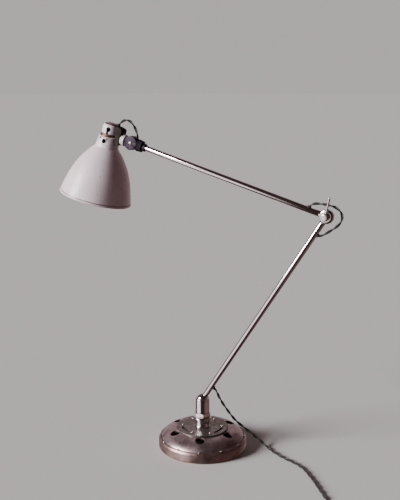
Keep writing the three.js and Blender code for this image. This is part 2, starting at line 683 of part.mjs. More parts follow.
// ---- Shade mounting: tongue in the fork, white ferrule, and the bracket on the neck ----
function makeShadeMount() {
  const tongueDisc = alongY(rod(FORK_RADIUS - 2.6, -TONGUE_HALF_WIDTH, TONGUE_HALF_WIDTH, ROUND));
  const halfTongue = TONGUE_HALF_WIDTH;
  const bar = block([GAP - ferruleFace, -4], [-halfTongue, halfTongue], [-6.5, 6.5]);
  const bore = alongY(rod(TILT_SCREW_DIAMETER / 2 + GAP, -9, 9));
  add(shade, "shade_tongue", cut(join(tongueDisc, bar), bore), gunmetal);

  const far = ferruleFace + FERRULE_LENGTH;
  const groove = (at) => [
    [FERRULE_RADIUS, at],
    [FERRULE_RADIUS - 0.8, at + 0.5],
    [FERRULE_RADIUS, at + 1],
  ];
  const ferrule = [
    [0, -far],
    [FERRULE_RADIUS, -far],
    ...groove(-far + FERRULE_LENGTH * 0.3),
    ...groove(-far + FERRULE_LENGTH * 0.6),
    [FERRULE_RADIUS, -ferruleFace - 0.8],
    [FERRULE_RADIUS - 0.8, -ferruleFace],
    [0, -ferruleFace],
  ];
  add(shade, "neck_ferrule", alongX(turned(ferrule, ROUND)), enamel);

  // The bracket's back follows the neck; its upper lug stands beside the cap.
  const face = -far - GAP;
  const plate = new THREE.Shape();
  const backX = -SHADE_OFFSET + CAP_RADIUS - 2;
  plate.moveTo(backX, -FERRULE_RADIUS - 1);
  plate.lineTo(face, -FERRULE_RADIUS - 1);
  plate.lineTo(face, FERRULE_RADIUS + 5);
  plate.lineTo(face - 3, FERRULE_RADIUS + 10);
  plate.lineTo(-SHADE_OFFSET + CAP_RADIUS + 2, FERRULE_RADIUS + 12);
  plate.lineTo(backX, FERRULE_RADIUS + 12);
  const halfWidth = FERRULE_RADIUS - 1;
  const options = { depth: 2 * halfWidth, bevelEnabled: false };
  const bracket = new THREE.ExtrudeGeometry(plate, options)
    .rotateX(Math.PI / 2)
    .translate(0, halfWidth, 0);
  const clear = 2 * GAP;
  const lip = NECK_TOP_RADIUS + 1.4 + clear;
  const low = neckBottom - 5;
  const neckSpace = [
    [0, low],
    [neckRadiusAt(low) + clear, low],
    [lip, NECK_TOP - 3 - SEAM_DROP],
    [lip, NECK_TOP + clear],
    [CAP_RADIUS + clear, NECK_TOP + clear],
    [CAP_RADIUS + clear, capTop + 20],
    [0, capTop + 20],
  ];
  const neckTool = turned(neckSpace, BROAD).translate(-SHADE_OFFSET, 0, 0);
  add(shade, "neck_bracket", cut(bracket, neckTool), gunmetal);
}

// ---- Lampholder and lamp inside the shade ----
function makeLampholder() {
  const holderTop = capTop - 8;
  const holderMouth = neckBottom - 4;
  const socketTop = holderMouth + 22;
  const holder = [
    [BULB_CAP_RADIUS + 0.8, holderMouth],
    [HOLDER_RADIUS, holderMouth],
    [HOLDER_RADIUS, NECK_TOP - 6],
    [HOLDER_RADIUS - 1.5, NECK_TOP - 3],
    [HOLDER_RADIUS - 1.5, holderTop - 2],
    [HOLDER_RADIUS - 4, holderTop],
    [0, holderTop],
    [0, socketTop],
    [BULB_CAP_RADIUS + 0.8, socketTop],
  ];
  add(shadeAxis, "lampholder", turned(holder), blackPlastic);
  const galleryOuter = NECK_TOP_RADIUS - SHADE_WALL - GAP;
  const galleryInner = galleryOuter - 1.2;
  const gallery = [
    [HOLDER_RADIUS + GAP, NECK_TOP - 3],
    [galleryInner, NECK_TOP - 3],
    [galleryInner, NECK_TOP - SEAM_DROP - 4],
    [galleryOuter, NECK_TOP - SEAM_DROP - 4],
    [galleryOuter, NECK_TOP - 0.1],
    [galleryInner, NECK_TOP - 0.1],
    [galleryInner, NECK_TOP - 1],
    [HOLDER_RADIUS + GAP, NECK_TOP - 1],
  ];
  add(shadeAxis, "holder_gallery", turned(gallery), bronze);

  const glassTop = holderMouth - 2;
  const bulbCap = rod(BULB_CAP_RADIUS, glassTop + GAP, socketTop - 2, 24);
  add(shadeAxis, "lamp_cap", bulbCap, chrome);
  const centre = mouth + 24 + BULB_RADIUS;
  const globe = (radius) => {
    const arc = Array.from({ length: 10 }, (_, k) => {
      const angle = -Math.PI / 2 + (k / 9) * (Math.PI / 2 + rad(62));
      return [radius * Math.cos(angle), centre + radius * Math.sin(angle)];
    });
    arc[0][0] = 0;
    return arc;
  };
  const throat = BULB_CAP_RADIUS - GLASS_WALL;
  const outside = [...globe(BULB_RADIUS), [BULB_CAP_RADIUS, glassTop - 5], [BULB_CAP_RADIUS, glassTop]];
  const inside = [...globe(BULB_RADIUS - GLASS_WALL), [throat, glassTop - 5], [throat, glassTop]];
  const bulb = [...outside, ...inside.reverse()];
  add(shadeAxis, "lamp_glass", turned(bulb, 24), glass);
}

// ---- Free cords: each lies along points in the lamp's own frame ----
const HEAD_CORD = [
  [-204.9, 1.5, 722.2],
  [-201.3, 1.4, 726.1],
  [-196.3, 1.2, 729.8],
  [-189.5, 1, 732.8],
  [-182, 0.9, 732.7],
  [-174.8, 0.9, 729.2],
  [-168.3, 0.9, 722.3],
  [-163.2, 0.9, 713.8],
  [-160, 0.9, 705.3],
  [-158.3, 0.9, 697.8],
];
const ELBOW_CORD = [
  [241.8, 0, 572.7],
  [246.4, 0.1, 575],
  [252.4, 0.3, 576.5],
  [261, 0.6, 576.6],
  [272.7, 1, 575.6],
  [284, 1, 573.9],
  [293.5, 0.9, 570.9],
  [301.4, 0.6, 565.6],
  [306.5, 0.3, 558],
  [307.4, 0, 549],
  [303.6, 0, 539.6],
  [296.4, 0, 531.6],
  [286.8, 0, 524.6],
  [277.6, 0, 518],
  [270, 0, 513.2],
  [262.8, 0, 510.6],
];
const TAIL_CORD = [
  [29.9, 0, 141.2],
  [32.4, 0.4, 138.2],
  [35, 2, 131.5],
  [39.2, 5, 120],
  [45.5, 9.2, 106],
  [56.5, 15.8, 86],
  [70.4, 23.4, 65],
  [90.5, 34.2, 43.4],
  [107, 42.5, 27.5],
  [123, 48, 14],
  [138, 45.5, 5.6],
  [153, 35.4, 3.2],
  [171, 22.5, 3.2],
  [191, 10.6, 3.2],
  [210, 2, 3.2],
  [228, -6.6, 3.2],
  [246.9, -19.7, 3.2],
  [264.2, -38.7, 3.2],
  [288, -68, 3.2],
  [306, -93, 3.2],
  [324, -117.5, 3.2],
  [337, -134.5, 3.2],
  [345, -148.5, 3.2],
  [350, -161.5, 3.2],
];

function makeCords() {
  add(lamp, "head_cord", cordTube(HEAD_CORD, 16), flex);
  add(lamp, "elbow_cord", cordTube(ELBOW_CORD, 24), flex);
  add(lamp, "tail_cord", cordTube(TAIL_CORD, 44), flex);

  const [x, y] = COIL_CENTRE;
  const inner = COIL_MEAN_RADIUS - COIL_WIDTH / 2;
  const coil = ring(inner, inner + COIL_WIDTH, 0.1, COIL_HEIGHT).translate(x, y, 0);
  add(lamp, "cord_coil", coil, flex);

  // The plug lies on its side beside the coil, where the last turn runs out towards +X.
  const plugY = y - COIL_MEAN_RADIUS - COIL_WIDTH / 2 + cordRadius;
  const plug = group(lamp, [x + 32, plugY, PLUG_RADIUS + 0.1]);
  const body = [
    [0, 0],
    [cordRadius + 1, 0],
    [PLUG_RADIUS * 0.55, 12],
    [PLUG_RADIUS, 18],
    [PLUG_RADIUS, PLUG_LENGTH - 1],
    [PLUG_RADIUS - 1, PLUG_LENGTH],
    [0, PLUG_LENGTH],
  ];
  add(plug, "plug_body", alongX(turned(body, 24)), blackPlastic);
  for (const side of [-1, 1]) {
    const start = PLUG_LENGTH + GAP;
    const pin = [[0, start], [2.4, start], [2.4, start + 17.5], [1.4, start + 19], [0, start + 19]];
    const name = side < 0 ? "plug_pin_1" : "plug_pin_2";
    add(plug, name, alongX(turned(pin, 12)).translate(0, side * 7, 0), steel);
  }
}

makeBase();
makeTopPlate();
makePost();
makeTurret();
makeLowerArm();
makeLever();
makeUpperArm();
makeKnuckle();
makeShadeShell();
makeShadeCap();
makeShadeMount();
makeLampholder();
makeCords();

export default lamp;
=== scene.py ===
"""The looks of an architect desk lamp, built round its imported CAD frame. Metres, +Z up."""
import json
from math import acos, asin, cos, degrees, hypot, pi, radians, sin, sqrt

import bmesh
import bpy
from mathutils import Matrix, Vector


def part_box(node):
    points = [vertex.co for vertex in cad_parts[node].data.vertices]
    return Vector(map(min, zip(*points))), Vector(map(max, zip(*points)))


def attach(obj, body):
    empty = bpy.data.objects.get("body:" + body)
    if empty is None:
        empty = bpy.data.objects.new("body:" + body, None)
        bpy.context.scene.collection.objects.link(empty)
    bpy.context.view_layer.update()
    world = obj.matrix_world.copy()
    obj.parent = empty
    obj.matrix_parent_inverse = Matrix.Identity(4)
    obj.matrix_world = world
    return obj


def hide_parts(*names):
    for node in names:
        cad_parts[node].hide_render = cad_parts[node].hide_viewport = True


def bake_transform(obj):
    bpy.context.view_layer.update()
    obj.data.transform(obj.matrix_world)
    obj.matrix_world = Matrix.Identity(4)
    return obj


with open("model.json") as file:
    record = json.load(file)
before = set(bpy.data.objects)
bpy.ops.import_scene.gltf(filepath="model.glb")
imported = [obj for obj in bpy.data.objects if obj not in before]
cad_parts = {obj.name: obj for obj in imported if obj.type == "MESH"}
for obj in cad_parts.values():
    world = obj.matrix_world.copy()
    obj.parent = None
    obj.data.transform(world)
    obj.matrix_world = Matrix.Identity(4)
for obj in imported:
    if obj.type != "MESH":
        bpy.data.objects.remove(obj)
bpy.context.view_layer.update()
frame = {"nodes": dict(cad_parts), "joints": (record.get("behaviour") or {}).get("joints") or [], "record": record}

MM = 0.001

# -- Where the frame says things are --
JOINTS = {joint["name"]: joint for joint in frame["joints"]}
BODY_OF = {n: b for b, nodes in frame["record"]["behaviour"]["bodies"].items() for n in nodes}
BALL = Vector(JOINTS["base_tilt"]["pos_m"])
ELBOW = Vector(JOINTS["elbow"]["pos_m"])
HEAD = Vector(JOINTS["shade_tilt"]["pos_m"])


def frame_at(origin, z, y):
    """A placing matrix from its origin, its Z axis and its Y axis."""
    z, y = z.normalized(), y.normalized()
    turn = Matrix((y.cross(z), y, z)).transposed().to_4x4()
    return Matrix.Translation(origin) @ turn


HINGE = Vector((0, 1, 0))
WORLD = Matrix.Identity(4)
LOWER = frame_at(BALL, ELBOW - BALL, HINGE)  # Z runs up the lower arm
LOWER_END = Matrix.Translation(ELBOW - BALL) @ LOWER
UPPER = frame_at(ELBOW, HEAD - ELBOW, HINGE)  # Z runs out along the upper arm
KNUCKLE = frame_at(HEAD, HEAD - ELBOW, Vector(JOINTS["shade_tilt"]["axis"]))
HEAD_TURN = 88.1  # the shade's turn from the upper arm's direction, degrees
SHADE_OFFSET = 59
SHADE = KNUCKLE @ Matrix.Rotation(radians(HEAD_TURN), 4, "Y")
SHADE_AXIS = SHADE @ Matrix.Translation((-SHADE_OFFSET * MM, 0, 0))
LEVER_LEAN = 11
LEVER = Matrix.Translation(ELBOW) @ Matrix.Rotation(radians(LEVER_LEAN), 4, "Y")

# -- Sizes in millimetres, as in the CAD --
def round_size(node):
    """A round node's radius, lowest and highest point."""
    low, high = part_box(node)
    return high.x / MM, low.z / MM, high.z / MM


BASE_RADIUS, SKIRT_LOW, SKIRT_TOP = round_size("base_skirt")
DOME_RADIUS, _, DOME_TOP = round_size("base_dome")
PLATE_RADIUS, PLATE_LOW, PLATE_TOP = round_size("top_plate")
FLANGE_RADIUS, FOOT_LOW, FOOT_TOP = round_size("post_foot")
_, NUT_LOW, NUT_TOP = round_size("lock_nut")
BARREL_RADIUS, BARREL_LOW, BARREL_TOP = round_size("socket_barrel")
BORE = 5.3  # the pivot spindle's hole through plate, post and nut
BALL_RADIUS = 13.5
TUBE_RADIUS = 6.35
TUBE_BORE = 5.15
SPIGOT = 4.85  # the ball's and the eyes' necks inside the tubes
LOWER_LENGTH = (ELBOW - BALL).length / MM
UPPER_LENGTH = (HEAD - ELBOW).length / MM
CORD = 6.0
STRAND_RADIUS = 1.5
TWIST_PITCH = 44.0
SNUG = 1.0  # a strand's distance from the cord's line where it enters a hole
GROMMET = 4.5
TAIL_EXIT, ELBOW_EXIT_LOWER, ELBOW_EXIT_UPPER = 41, 44, 41
EYE_RADIUS, EYE_FACE, BOLT_RADIUS = 15, 0.7, 4
BOLT_BORE = BOLT_RADIUS + 0.3
PIVOT_BORE = 2.8  # the hole for the knuckle's screw
HUB_NEAR, HUB_FAR, HUB_RADIUS, LEVER_REACH = 8.05, 16.05, 7.7, 42
FORK_RADIUS, FORK_HALF, TONGUE_HALF = 15.5, 9.6, 2.9
COLLAR_START, COLLAR_LENGTH, COLLAR_RADIUS = 15.8, 12.5, 13.6
SHADE_RADIUS, SHADE_WALL, MOUTH = 83, 1.6, -146
NECK_TOP, NECK_LOW, NECK_RADIUS, CREASE_RADIUS = 4, -27, 22, 26.6
CAP_RADIUS, CAP_TOP = 19.3, 28
SEAM_DROP = 6.6  # how much lower the neck's lip is at the front than at the back
FERRULE_RADIUS, FERRULE_NEAR, FERRULE_FAR = 13, 16, 25.5


# -- Mesh helpers --
def arc(x, z, radius, start, end, steps=6):
    """Points of a circular arc in a profile, angles in degrees from outwards."""
    turns = [radians(start + (end - start) * k / steps) for k in range(steps + 1)]
    return [(x + radius * cos(a), z + radius * sin(a)) for a in turns]


def bezier(points, steps=24):
    """Points along a Bezier curve of any degree."""
    line = []
    for k in range(steps + 1):
        t, level = k / steps, [Vector(p) for p in points]
        while len(level) > 1:
            level = [a.lerp(b, t) for a, b in zip(level, level[1:])]
        line.append(tuple(level[0]))
    return line


def place(name, data):
    made = bpy.data.objects.new(name, data)
    bpy.context.scene.collection.objects.link(made)
    return made


def to_object(name, bm):
    bmesh.ops.remove_doubles(bm, verts=bm.verts, dist=1e-7)
    bmesh.ops.recalc_face_normals(bm, faces=bm.faces)
    mesh = bpy.data.meshes.new(name)
    bm.to_mesh(mesh)
    bm.free()
    return place(name, mesh)


def turned(name, profile, sides=96, wave=None):
    """A solid of revolution about Z. A profile that leaves the axis is closed into a ring."""
    bm = bmesh.new()
    angles = [2 * pi * k / sides for k in range(sides)]
    rings = []
    for radius, height in profile:
        if radius < 1e-6:
            rings.append([bm.verts.new((0, 0, height * MM))])
            continue
        ring = []
        for a in angles:
            r = radius + (wave(a, radius, height) if wave else 0)
            ring.append(bm.verts.new((r * cos(a) * MM, r * sin(a) * MM, height * MM)))
        rings.append(ring)
    hollow = len(rings[0]) > 1 or len(rings[-1]) > 1
    for low, high in zip(rings, rings[1:] + (rings[:1] if hollow else [])):
        for k in range(sides):
            n = (k + 1) % sides
            corners = [low[k % len(low)], low[n % len(low)], high[n % len(high)], high[k % len(high)]]
            unique = list(dict.fromkeys(corners))
            if len(unique) > 2:
                bm.faces.new(unique)
    return to_object(name, bm)


def prism(name, outline, low, high):
    """An outline in X and Y raised from one height to another."""
    bm = bmesh.new()
    face = bm.faces.new([bm.verts.new((x * MM, y * MM, low * MM)) for x, y in outline])
    up = bmesh.ops.extrude_face_region(bm, geom=[face])["geom"]
    raised = [v for v in up if isinstance(v, bmesh.types.BMVert)]
    bmesh.ops.translate(bm, verts=raised, vec=(0, 0, (high - low) * MM))
    return to_object(name, bm)


def rod(name, radius, low, high, sides=48):
    return turned(name, [(0, low), (radius, low), (radius, high), (0, high)], sides)


def block(name, x, y, z):
    return prism(name, [(x[0], y[0]), (x[1], y[0]), (x[1], y[1]), (x[0], y[1])], z[0], z[1])


def moved(obj, matrix):
    """Moves the mesh itself."""
    obj.data.transform(matrix)
    return obj


def spin(axis, degrees):
    return Matrix.Rotation(radians(degrees), 4, axis)


def shift(x, y, z):
    return Matrix.Translation((x * MM, y * MM, z * MM))


ALONG_Y = spin("X", -90)
ALONG_MINUS_Y = spin("X", 90)
ALONG_X = spin("Y", 90)
CAP_SHOULDER = shift(CAP_RADIUS - 2.75, 0, CAP_TOP - 0.7) @ spin("Y", 29)  # where the cord enters the cap


def settle(obj):
    """Replaces the mesh with what its modifiers make of it."""
    bpy.context.view_layer.update()
    evaluated = obj.evaluated_get(bpy.context.evaluated_depsgraph_get())
    mesh = bpy.data.meshes.new_from_object(evaluated)
    obj.modifiers.clear()
    obj.data = mesh
    return obj


def combine(obj, tools, operation):
    for tool in tools:
        step = obj.modifiers.new("combine", "BOOLEAN")
        step.operation = operation
        step.solver = "EXACT"
        step.object = tool
        settle(obj)
        bpy.data.objects.remove(tool)
    return obj


def cut(obj, *tools):
    return combine(obj, tools, "DIFFERENCE")


def join(obj, *tools):
    return combine(obj, tools, "UNION")


def ease(obj, width=0.4, segments=2, angle=32):
    """Rounds the sharp edges."""
    step = obj.modifiers.new("ease", "BEVEL")
    step.width = width * MM
    step.segments = segments
    step.limit_method = "ANGLE"
    step.angle_limit = radians(angle)
    step.use_clamp_overlap = True
    return settle(obj)


def fit(obj, node, material, matrix=WORLD, angle=38, like=None):
    """Smooths a piece, gives it its material, and stands it where its CAD node, or one it is like, belongs."""
    obj.data.shade_smooth()
    obj.data.set_sharp_from_angle(angle=radians(angle))
    obj.data.materials.clear()
    obj.data.materials.append(material)
    obj.matrix_world = matrix
    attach(obj, BODY_OF[node or like])
    if node:
        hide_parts(node)
    return obj


# -- Materials --
class Nodes:
    """A node tree under construction."""

    def __init__(self, tree):
        self.tree = tree

    def set(self, node, **values):
        for name, value in values.items():
            node.inputs[name.replace("_", " ")].default_value = value

    def add(self, kind, **values):
        node = self.tree.nodes.new(kind)
        for name, value in values.items():
            setattr(node, name, value)
        return node

    def link(self, source, target):
        self.tree.links.new(source, target)

    def feed(self, target, value):
        """Sets a socket to a number or a colour, or links an output to it."""
        if isinstance(value, (tuple, float, int)):
            target.default_value = (*value, 1) if isinstance(value, tuple) else value
        else:
            self.link(value, target)

    def ramp(self, source, stops):
        """A colour ramp from [(position, colour or grey), ...]."""
        node = self.add("ShaderNodeValToRGB")
        self.link(source, node.inputs["Fac"])
        elements = node.color_ramp.elements
        while len(elements) < len(stops):
            elements.new(0.5)
        for element, (position, value) in zip(elements, stops):
            element.position = position
            element.color = (*value, 1) if isinstance(value, tuple) else (value, value, value, 1)
        return node.outputs["Color"]

    def by_camera(self, seen, unseen, output):
        """Shows one shader to the camera and the other to all other rays."""
        rays = self.add("ShaderNodeLightPath")
        mix = self.add("ShaderNodeMixShader")
        for target, source in zip(mix.inputs, (rays.outputs["Is Camera Ray"], unseen, seen)):
            self.link(source, target)
        self.link(mix.outputs[0], self.tree.nodes[output].inputs["Surface"])


class Recipe(Nodes):
    """A node material under construction."""

    def __init__(self, name, roughness=0.4, metallic=0.0, **sockets):
        self.material = bpy.data.materials.new(name)
        self.material.use_nodes = True
        super().__init__(self.material.node_tree)
        self.shader = self.tree.nodes["Principled BSDF"]
        self.set(self.shader, Roughness=roughness, Metallic=metallic, **sockets)
        self.coordinates = self.add("ShaderNodeTexCoord").outputs["Object"]

    def scaled(self, stretch):
        mapping = self.add("ShaderNodeMapping")
        self.link(self.coordinates, mapping.inputs["Vector"])
        mapping.inputs["Scale"].default_value = stretch
        return mapping.outputs["Vector"]

    def noise(self, scale, detail=4, roughness=0.55, stretch=None):
        node = self.add("ShaderNodeTexNoise")
        self.link(self.scaled(stretch) if stretch else self.coordinates, node.inputs["Vector"])
        self.set(node, Scale=scale, Detail=detail, Roughness=roughness)
        return node.outputs["Fac"]

    def dots(self, scale, size, share):
        """Small round spots, in only some of the cells."""
        cells = self.add("ShaderNodeTexVoronoi")
        self.link(self.coordinates, cells.inputs["Vector"])
        self.set(cells, Scale=scale)
        spot = self.ramp(cells.outputs["Distance"], [(size * 0.7, 1.0), (size, 0.0)])
        chosen = self.ramp(cells.outputs["Color"], [(share, 0.0), (share + 0.01, 1.0)])
        return self.times(spot, chosen)

    def mix(self, factor, a, b, blend="MIX"):
        node = self.add("ShaderNodeMix", data_type="RGBA", blend_type=blend)
        for socket, value in (("Factor", factor), ("A", a), ("B", b)):
            kind = "Factor_Float" if socket == "Factor" else f"{socket}_Color"
            target = next(i for i in node.inputs if i.identifier == kind)
            self.feed(target, value)
        return next(o for o in node.outputs if o.identifier == "Result_Color")

    def times(self, a, b):
        return self.mix(1.0, a, b, "MULTIPLY")

    def maths(self, operation, *values):
        node = self.add("ShaderNodeMath", operation=operation)
        for target, value in zip(node.inputs, values):
            self.feed(target, value)
        return node.outputs[0]

    def colour(self, source):
        self.link(source, self.shader.inputs["Base Color"])

    def rough(self, source, low, high):
        node = self.add("ShaderNodeMapRange")
        self.link(source, node.inputs["Value"])
        self.set(node, From_Min=0.3, From_Max=0.7, To_Min=low, To_Max=high)
        self.link(node.outputs["Result"], self.shader.inputs["Roughness"])

    def bump(self, source, strength, depth=0.2):
        node = self.add("ShaderNodeBump")
        self.set(node, Strength=strength, Distance=depth * MM)
        self.link(source, node.inputs["Height"])
        self.link(node.outputs["Normal"], self.shader.inputs["Normal"])

    def edges(self, low=0.52, high=0.6):
        """Bright where the surface turns sharply outwards."""
        geometry = self.add("ShaderNodeNewGeometry")
        return self.ramp(geometry.outputs["Pointiness"], [(low, 0.0), (high, 1.0)])


def polished(name, tone, rough=(0.1, 0.2), spots=0.72):
    """Plated metal with faint streaks, dull patches and pin-prick pitting."""
    made = Recipe(name, metallic=1.0)
    patches = made.noise(38, detail=6)
    streaks = made.noise(1, detail=5, stretch=(900, 900, 18))
    pits = made.ramp(made.noise(620, detail=3), [(spots, 0.0), (spots + 0.05, 1.0)])
    dull = made.mix(made.ramp(patches, [(0.5, 0.0), (0.8, 0.35)]), tone, (0.36, 0.27, 0.25))
    made.colour(made.mix(pits, dull, (0.1, 0.07, 0.06)))
    made.rough(made.mix(0.5, patches, streaks), *rough)
    made.bump(streaks, 0.06, 0.05)
    return made.material


def patina(name, dark, light, glow, rough=(0.3, 0.5), edge=0.6, speckle=1.0):
    """Cast metal, blotched and speckled, rubbed bright along its edges."""
    made = Recipe(name, metallic=0.9)
    clouds = made.noise(34, detail=8, roughness=0.62)
    grain = made.noise(260, detail=6, roughness=0.75)
    body = made.mix(made.ramp(clouds, [(0.32, 0.0), (0.68, 1.0)]), dark, light)
    specks = made.ramp(grain, [(0.34, speckle), (0.43, 0.0)])
    aged = made.mix(specks, body, (0.05, 0.04, 0.04))
    worn = made.ramp(made.noise(110, detail=4), [(0.4, 0.2), (0.7, 1.0)])
    bright = made.times(made.edges(), worn)
    amount = made.times(bright, (edge, edge, edge))
    made.colour(made.mix(amount, aged, glow))
    made.rough(made.mix(0.6, clouds, grain), *rough)
    made.bump(grain, 0.25, 0.12)
    return made.material


def plain(name, colour, other, rough, scale=300, bump=0.15, depth=0.1, **sockets):
    """Moulded, turned or coated material with a little grain and colour change."""
    made = Recipe(name, **sockets)
    grain = made.noise(scale, detail=5)
    clouds = made.noise(scale / 9, detail=4)
    made.colour(made.mix(made.ramp(clouds, [(0.35, 0.0), (0.65, 1.0)]), colour, other))
    made.rough(grain, *rough)
    made.bump(grain, bump, depth)
    return made.material


def enamel(name, light, shade, line=None):
    """Stove enamel: glossy, faintly uneven, with dark chips and patches of old dust."""
    made = Recipe(name, Coat_Weight=0.12, Coat_Roughness=0.2)
    clouds = made.noise(26, detail=6)
    dust = made.noise(90, detail=8, roughness=0.7)
    skin = made.mix(made.ramp(clouds, [(0.35, 0.0), (0.7, 1.0)]), light, shade)
    grime = made.ramp(dust, [(0.62, 0.0), (0.8, 0.5)])
    aged = made.mix(grime, skin, (0.36, 0.29, 0.28))
    coat = made.mix(made.dots(110, 0.13, 0.5), aged, (0.1, 0.065, 0.06))
    coat = made.mix(made.dots(260, 0.15, 0.55), coat, (0.38, 0.29, 0.28))
    rubbed = made.ramp(made.noise(160, detail=3), [(0.5, 0.0), (0.62, 1.0)])
    bare = made.times(made.edges(0.56, 0.66), rubbed)
    coat = made.mix(bare, coat, (0.16, 0.11, 0.09))
    # A dark band round one height: round the crown's top edge it is painted shade as well as wear, and on the bell
    # it is a brown line just above the rim.
    if line:
        height = made.add("ShaderNodeSeparateXYZ")
        made.link(made.coordinates, height.inputs[0])
        centre, width = line
        near = made.maths("COMPARE", height.outputs["Z"], centre * MM, width * MM / 2)
        worn = made.times(near, made.ramp(dust, [(0.3, 0.6), (0.5, 1.0)]))
        coat = made.mix(worn, coat, (0.11, 0.065, 0.05))
    made.colour(coat)
    made.rough(dust, 0.3, 0.48)
    made.bump(clouds, 0.12, 0.4)
    return made.material


def braid(name):
    """Black braided cotton with a few pale threads, laid out along the strand."""
    made = Recipe(name, roughness=0.85, Sheen_Weight=0.15, Sheen_Roughness=0.5)
    uv = made.add("ShaderNodeTexCoord").outputs["UV"]
    split = made.add("ShaderNodeSeparateXYZ")
    made.link(uv, split.inputs[0])

    def wave(along, around):
        total = made.maths("MULTIPLY", split.outputs["X"], along)
        return made.maths("SINE", made.maths("MULTIPLY_ADD", split.outputs["Y"], around, total))

    weave = made.maths("MAXIMUM", wave(2600, 8 * pi), wave(2600, -8 * pi))
    threads = made.ramp(wave(310, 2 * pi), [(0.9, 0.0), (0.97, 1.0)])
    patchy = made.ramp(made.noise(140, detail=3), [(0.45, 0.0), (0.6, 1.0)])
    pale = made.times(threads, patchy)
    raised = made.ramp(weave, [(0.0, 0.0), (1.0, 1.0)])
    cotton = made.mix(raised, (0.006, 0.006, 0.007), (0.03, 0.03, 0.033))
    made.colour(made.mix(pale, cotton, (0.3, 0.27, 0.25)))
    made.bump(weave, 0.6, 0.15)
    return made.material


CHROME = polished("chrome", (0.84, 0.79, 0.79))
ARM_CHROME = polished("arm_chrome", (0.82, 0.76, 0.765), spots=0.7)
STEEL = polished("bright_steel", (0.66, 0.62, 0.6), rough=(0.2, 0.38), spots=0.68)
CAST = patina("cast_patina", (0.22, 0.155, 0.16), (0.6, 0.46, 0.475), (0.95, 0.78, 0.76), rough=(0.3, 0.48))
CAST_RIM = patina("cast_rim_patina", (0.2, 0.125, 0.11), (0.5, 0.36, 0.345), (0.95, 0.78, 0.76))
PLATE = patina(
    "plate_patina", (0.065, 0.061, 0.059), (0.13, 0.119, 0.116), (0.6, 0.52, 0.49),
    rough=(0.36, 0.5), edge=0.5, speckle=0.3,
)
IRON = patina("raw_iron", (0.05, 0.045, 0.04), (0.12, 0.1, 0.09), (0.2, 0.18, 0.16), rough=(0.55, 0.75))
GUNMETAL = patina(
    "gunmetal", (0.018, 0.013, 0.021), (0.06, 0.043, 0.064), (0.6, 0.5, 0.6), rough=(0.46, 0.62), edge=0.03,
)
# Near-black paint for the neck bracket: painted shade, for a piece that stands on the lamp's shaded side.
SHADED_BRACKET = plain(
    "bracket_painted_shade", (0.022, 0.017, 0.015), (0.055, 0.04, 0.034), (0.7, 0.85), scale=260,
    Specular_IOR_Level=0.15,
)
BRONZE = patina(
    "old_bronze", (0.1, 0.06, 0.042), (0.24, 0.155, 0.11), (0.5, 0.36, 0.26), rough=(0.35, 0.55), edge=0.1,
)
SHADE_ENAMEL = enamel("shade_enamel", (0.98, 0.84, 0.91), (0.89, 0.75, 0.81), line=(MOUTH + 5, 1.7))
# The crown's dark band round its top edge is painted shade as well as wear.
CAP_ENAMEL = enamel("cap_enamel", (0.98, 0.84, 0.91), (0.89, 0.75, 0.81), line=(CAP_TOP - 1.2, 4.4))
INNER_ENAMEL = enamel("inner_enamel", (0.86, 0.83, 0.8), (0.78, 0.74, 0.7))
WHITE_ENAMEL = enamel("ferrule_enamel", (0.95, 0.92, 0.92), (0.9, 0.86, 0.86))
PHENOLIC = plain("black_phenolic", (0.012, 0.011, 0.011), (0.03, 0.026, 0.024), (0.25, 0.45))
RUBBER = plain("black_rubber", (0.014, 0.014, 0.015), (0.03, 0.03, 0.03), (0.5, 0.75))
CORK = plain("cork", (0.3, 0.19, 0.1), (0.42, 0.28, 0.16), (0.8, 0.95), scale=700, bump=0.6, depth=0.4)
OPAL = plain(
    "opal_glass", (0.9, 0.88, 0.83), (0.86, 0.84, 0.79), (0.25, 0.4), scale=60, bump=0.03, Coat_Weight=0.5,
)
TAPE = plain(
    "cotton_tape", (0.3, 0.26, 0.2), (0.4, 0.35, 0.28), (0.85, 0.95), scale=900, bump=0.5, depth=0.2,
)
FLEX = braid("braided_cotton")


# -- Camera --
CAMERA_TURN = 25.0  # the camera's bearing round the lamp, degrees
CAMERA_PITCH = 12.2
CAMERA_AT = (-0.006, -1.770, 0.840)  # right, away and up from the base's centre, along the camera's bearing
CAMERA_LENS = 59.8


def studio(right, away, up):
    """A point given along the camera's bearing."""
    return spin("Z", CAMERA_TURN) @ Vector((right, away, up))


def make_camera():
    data = bpy.data.cameras.new("camera")
    data.lens = CAMERA_LENS
    data.sensor_width = 36
    camera = place("camera", data)
    camera.location = studio(*CAMERA_AT)
    camera.rotation_euler = (radians(90 - CAMERA_PITCH), 0, radians(CAMERA_TURN))
    bpy.context.scene.camera = camera


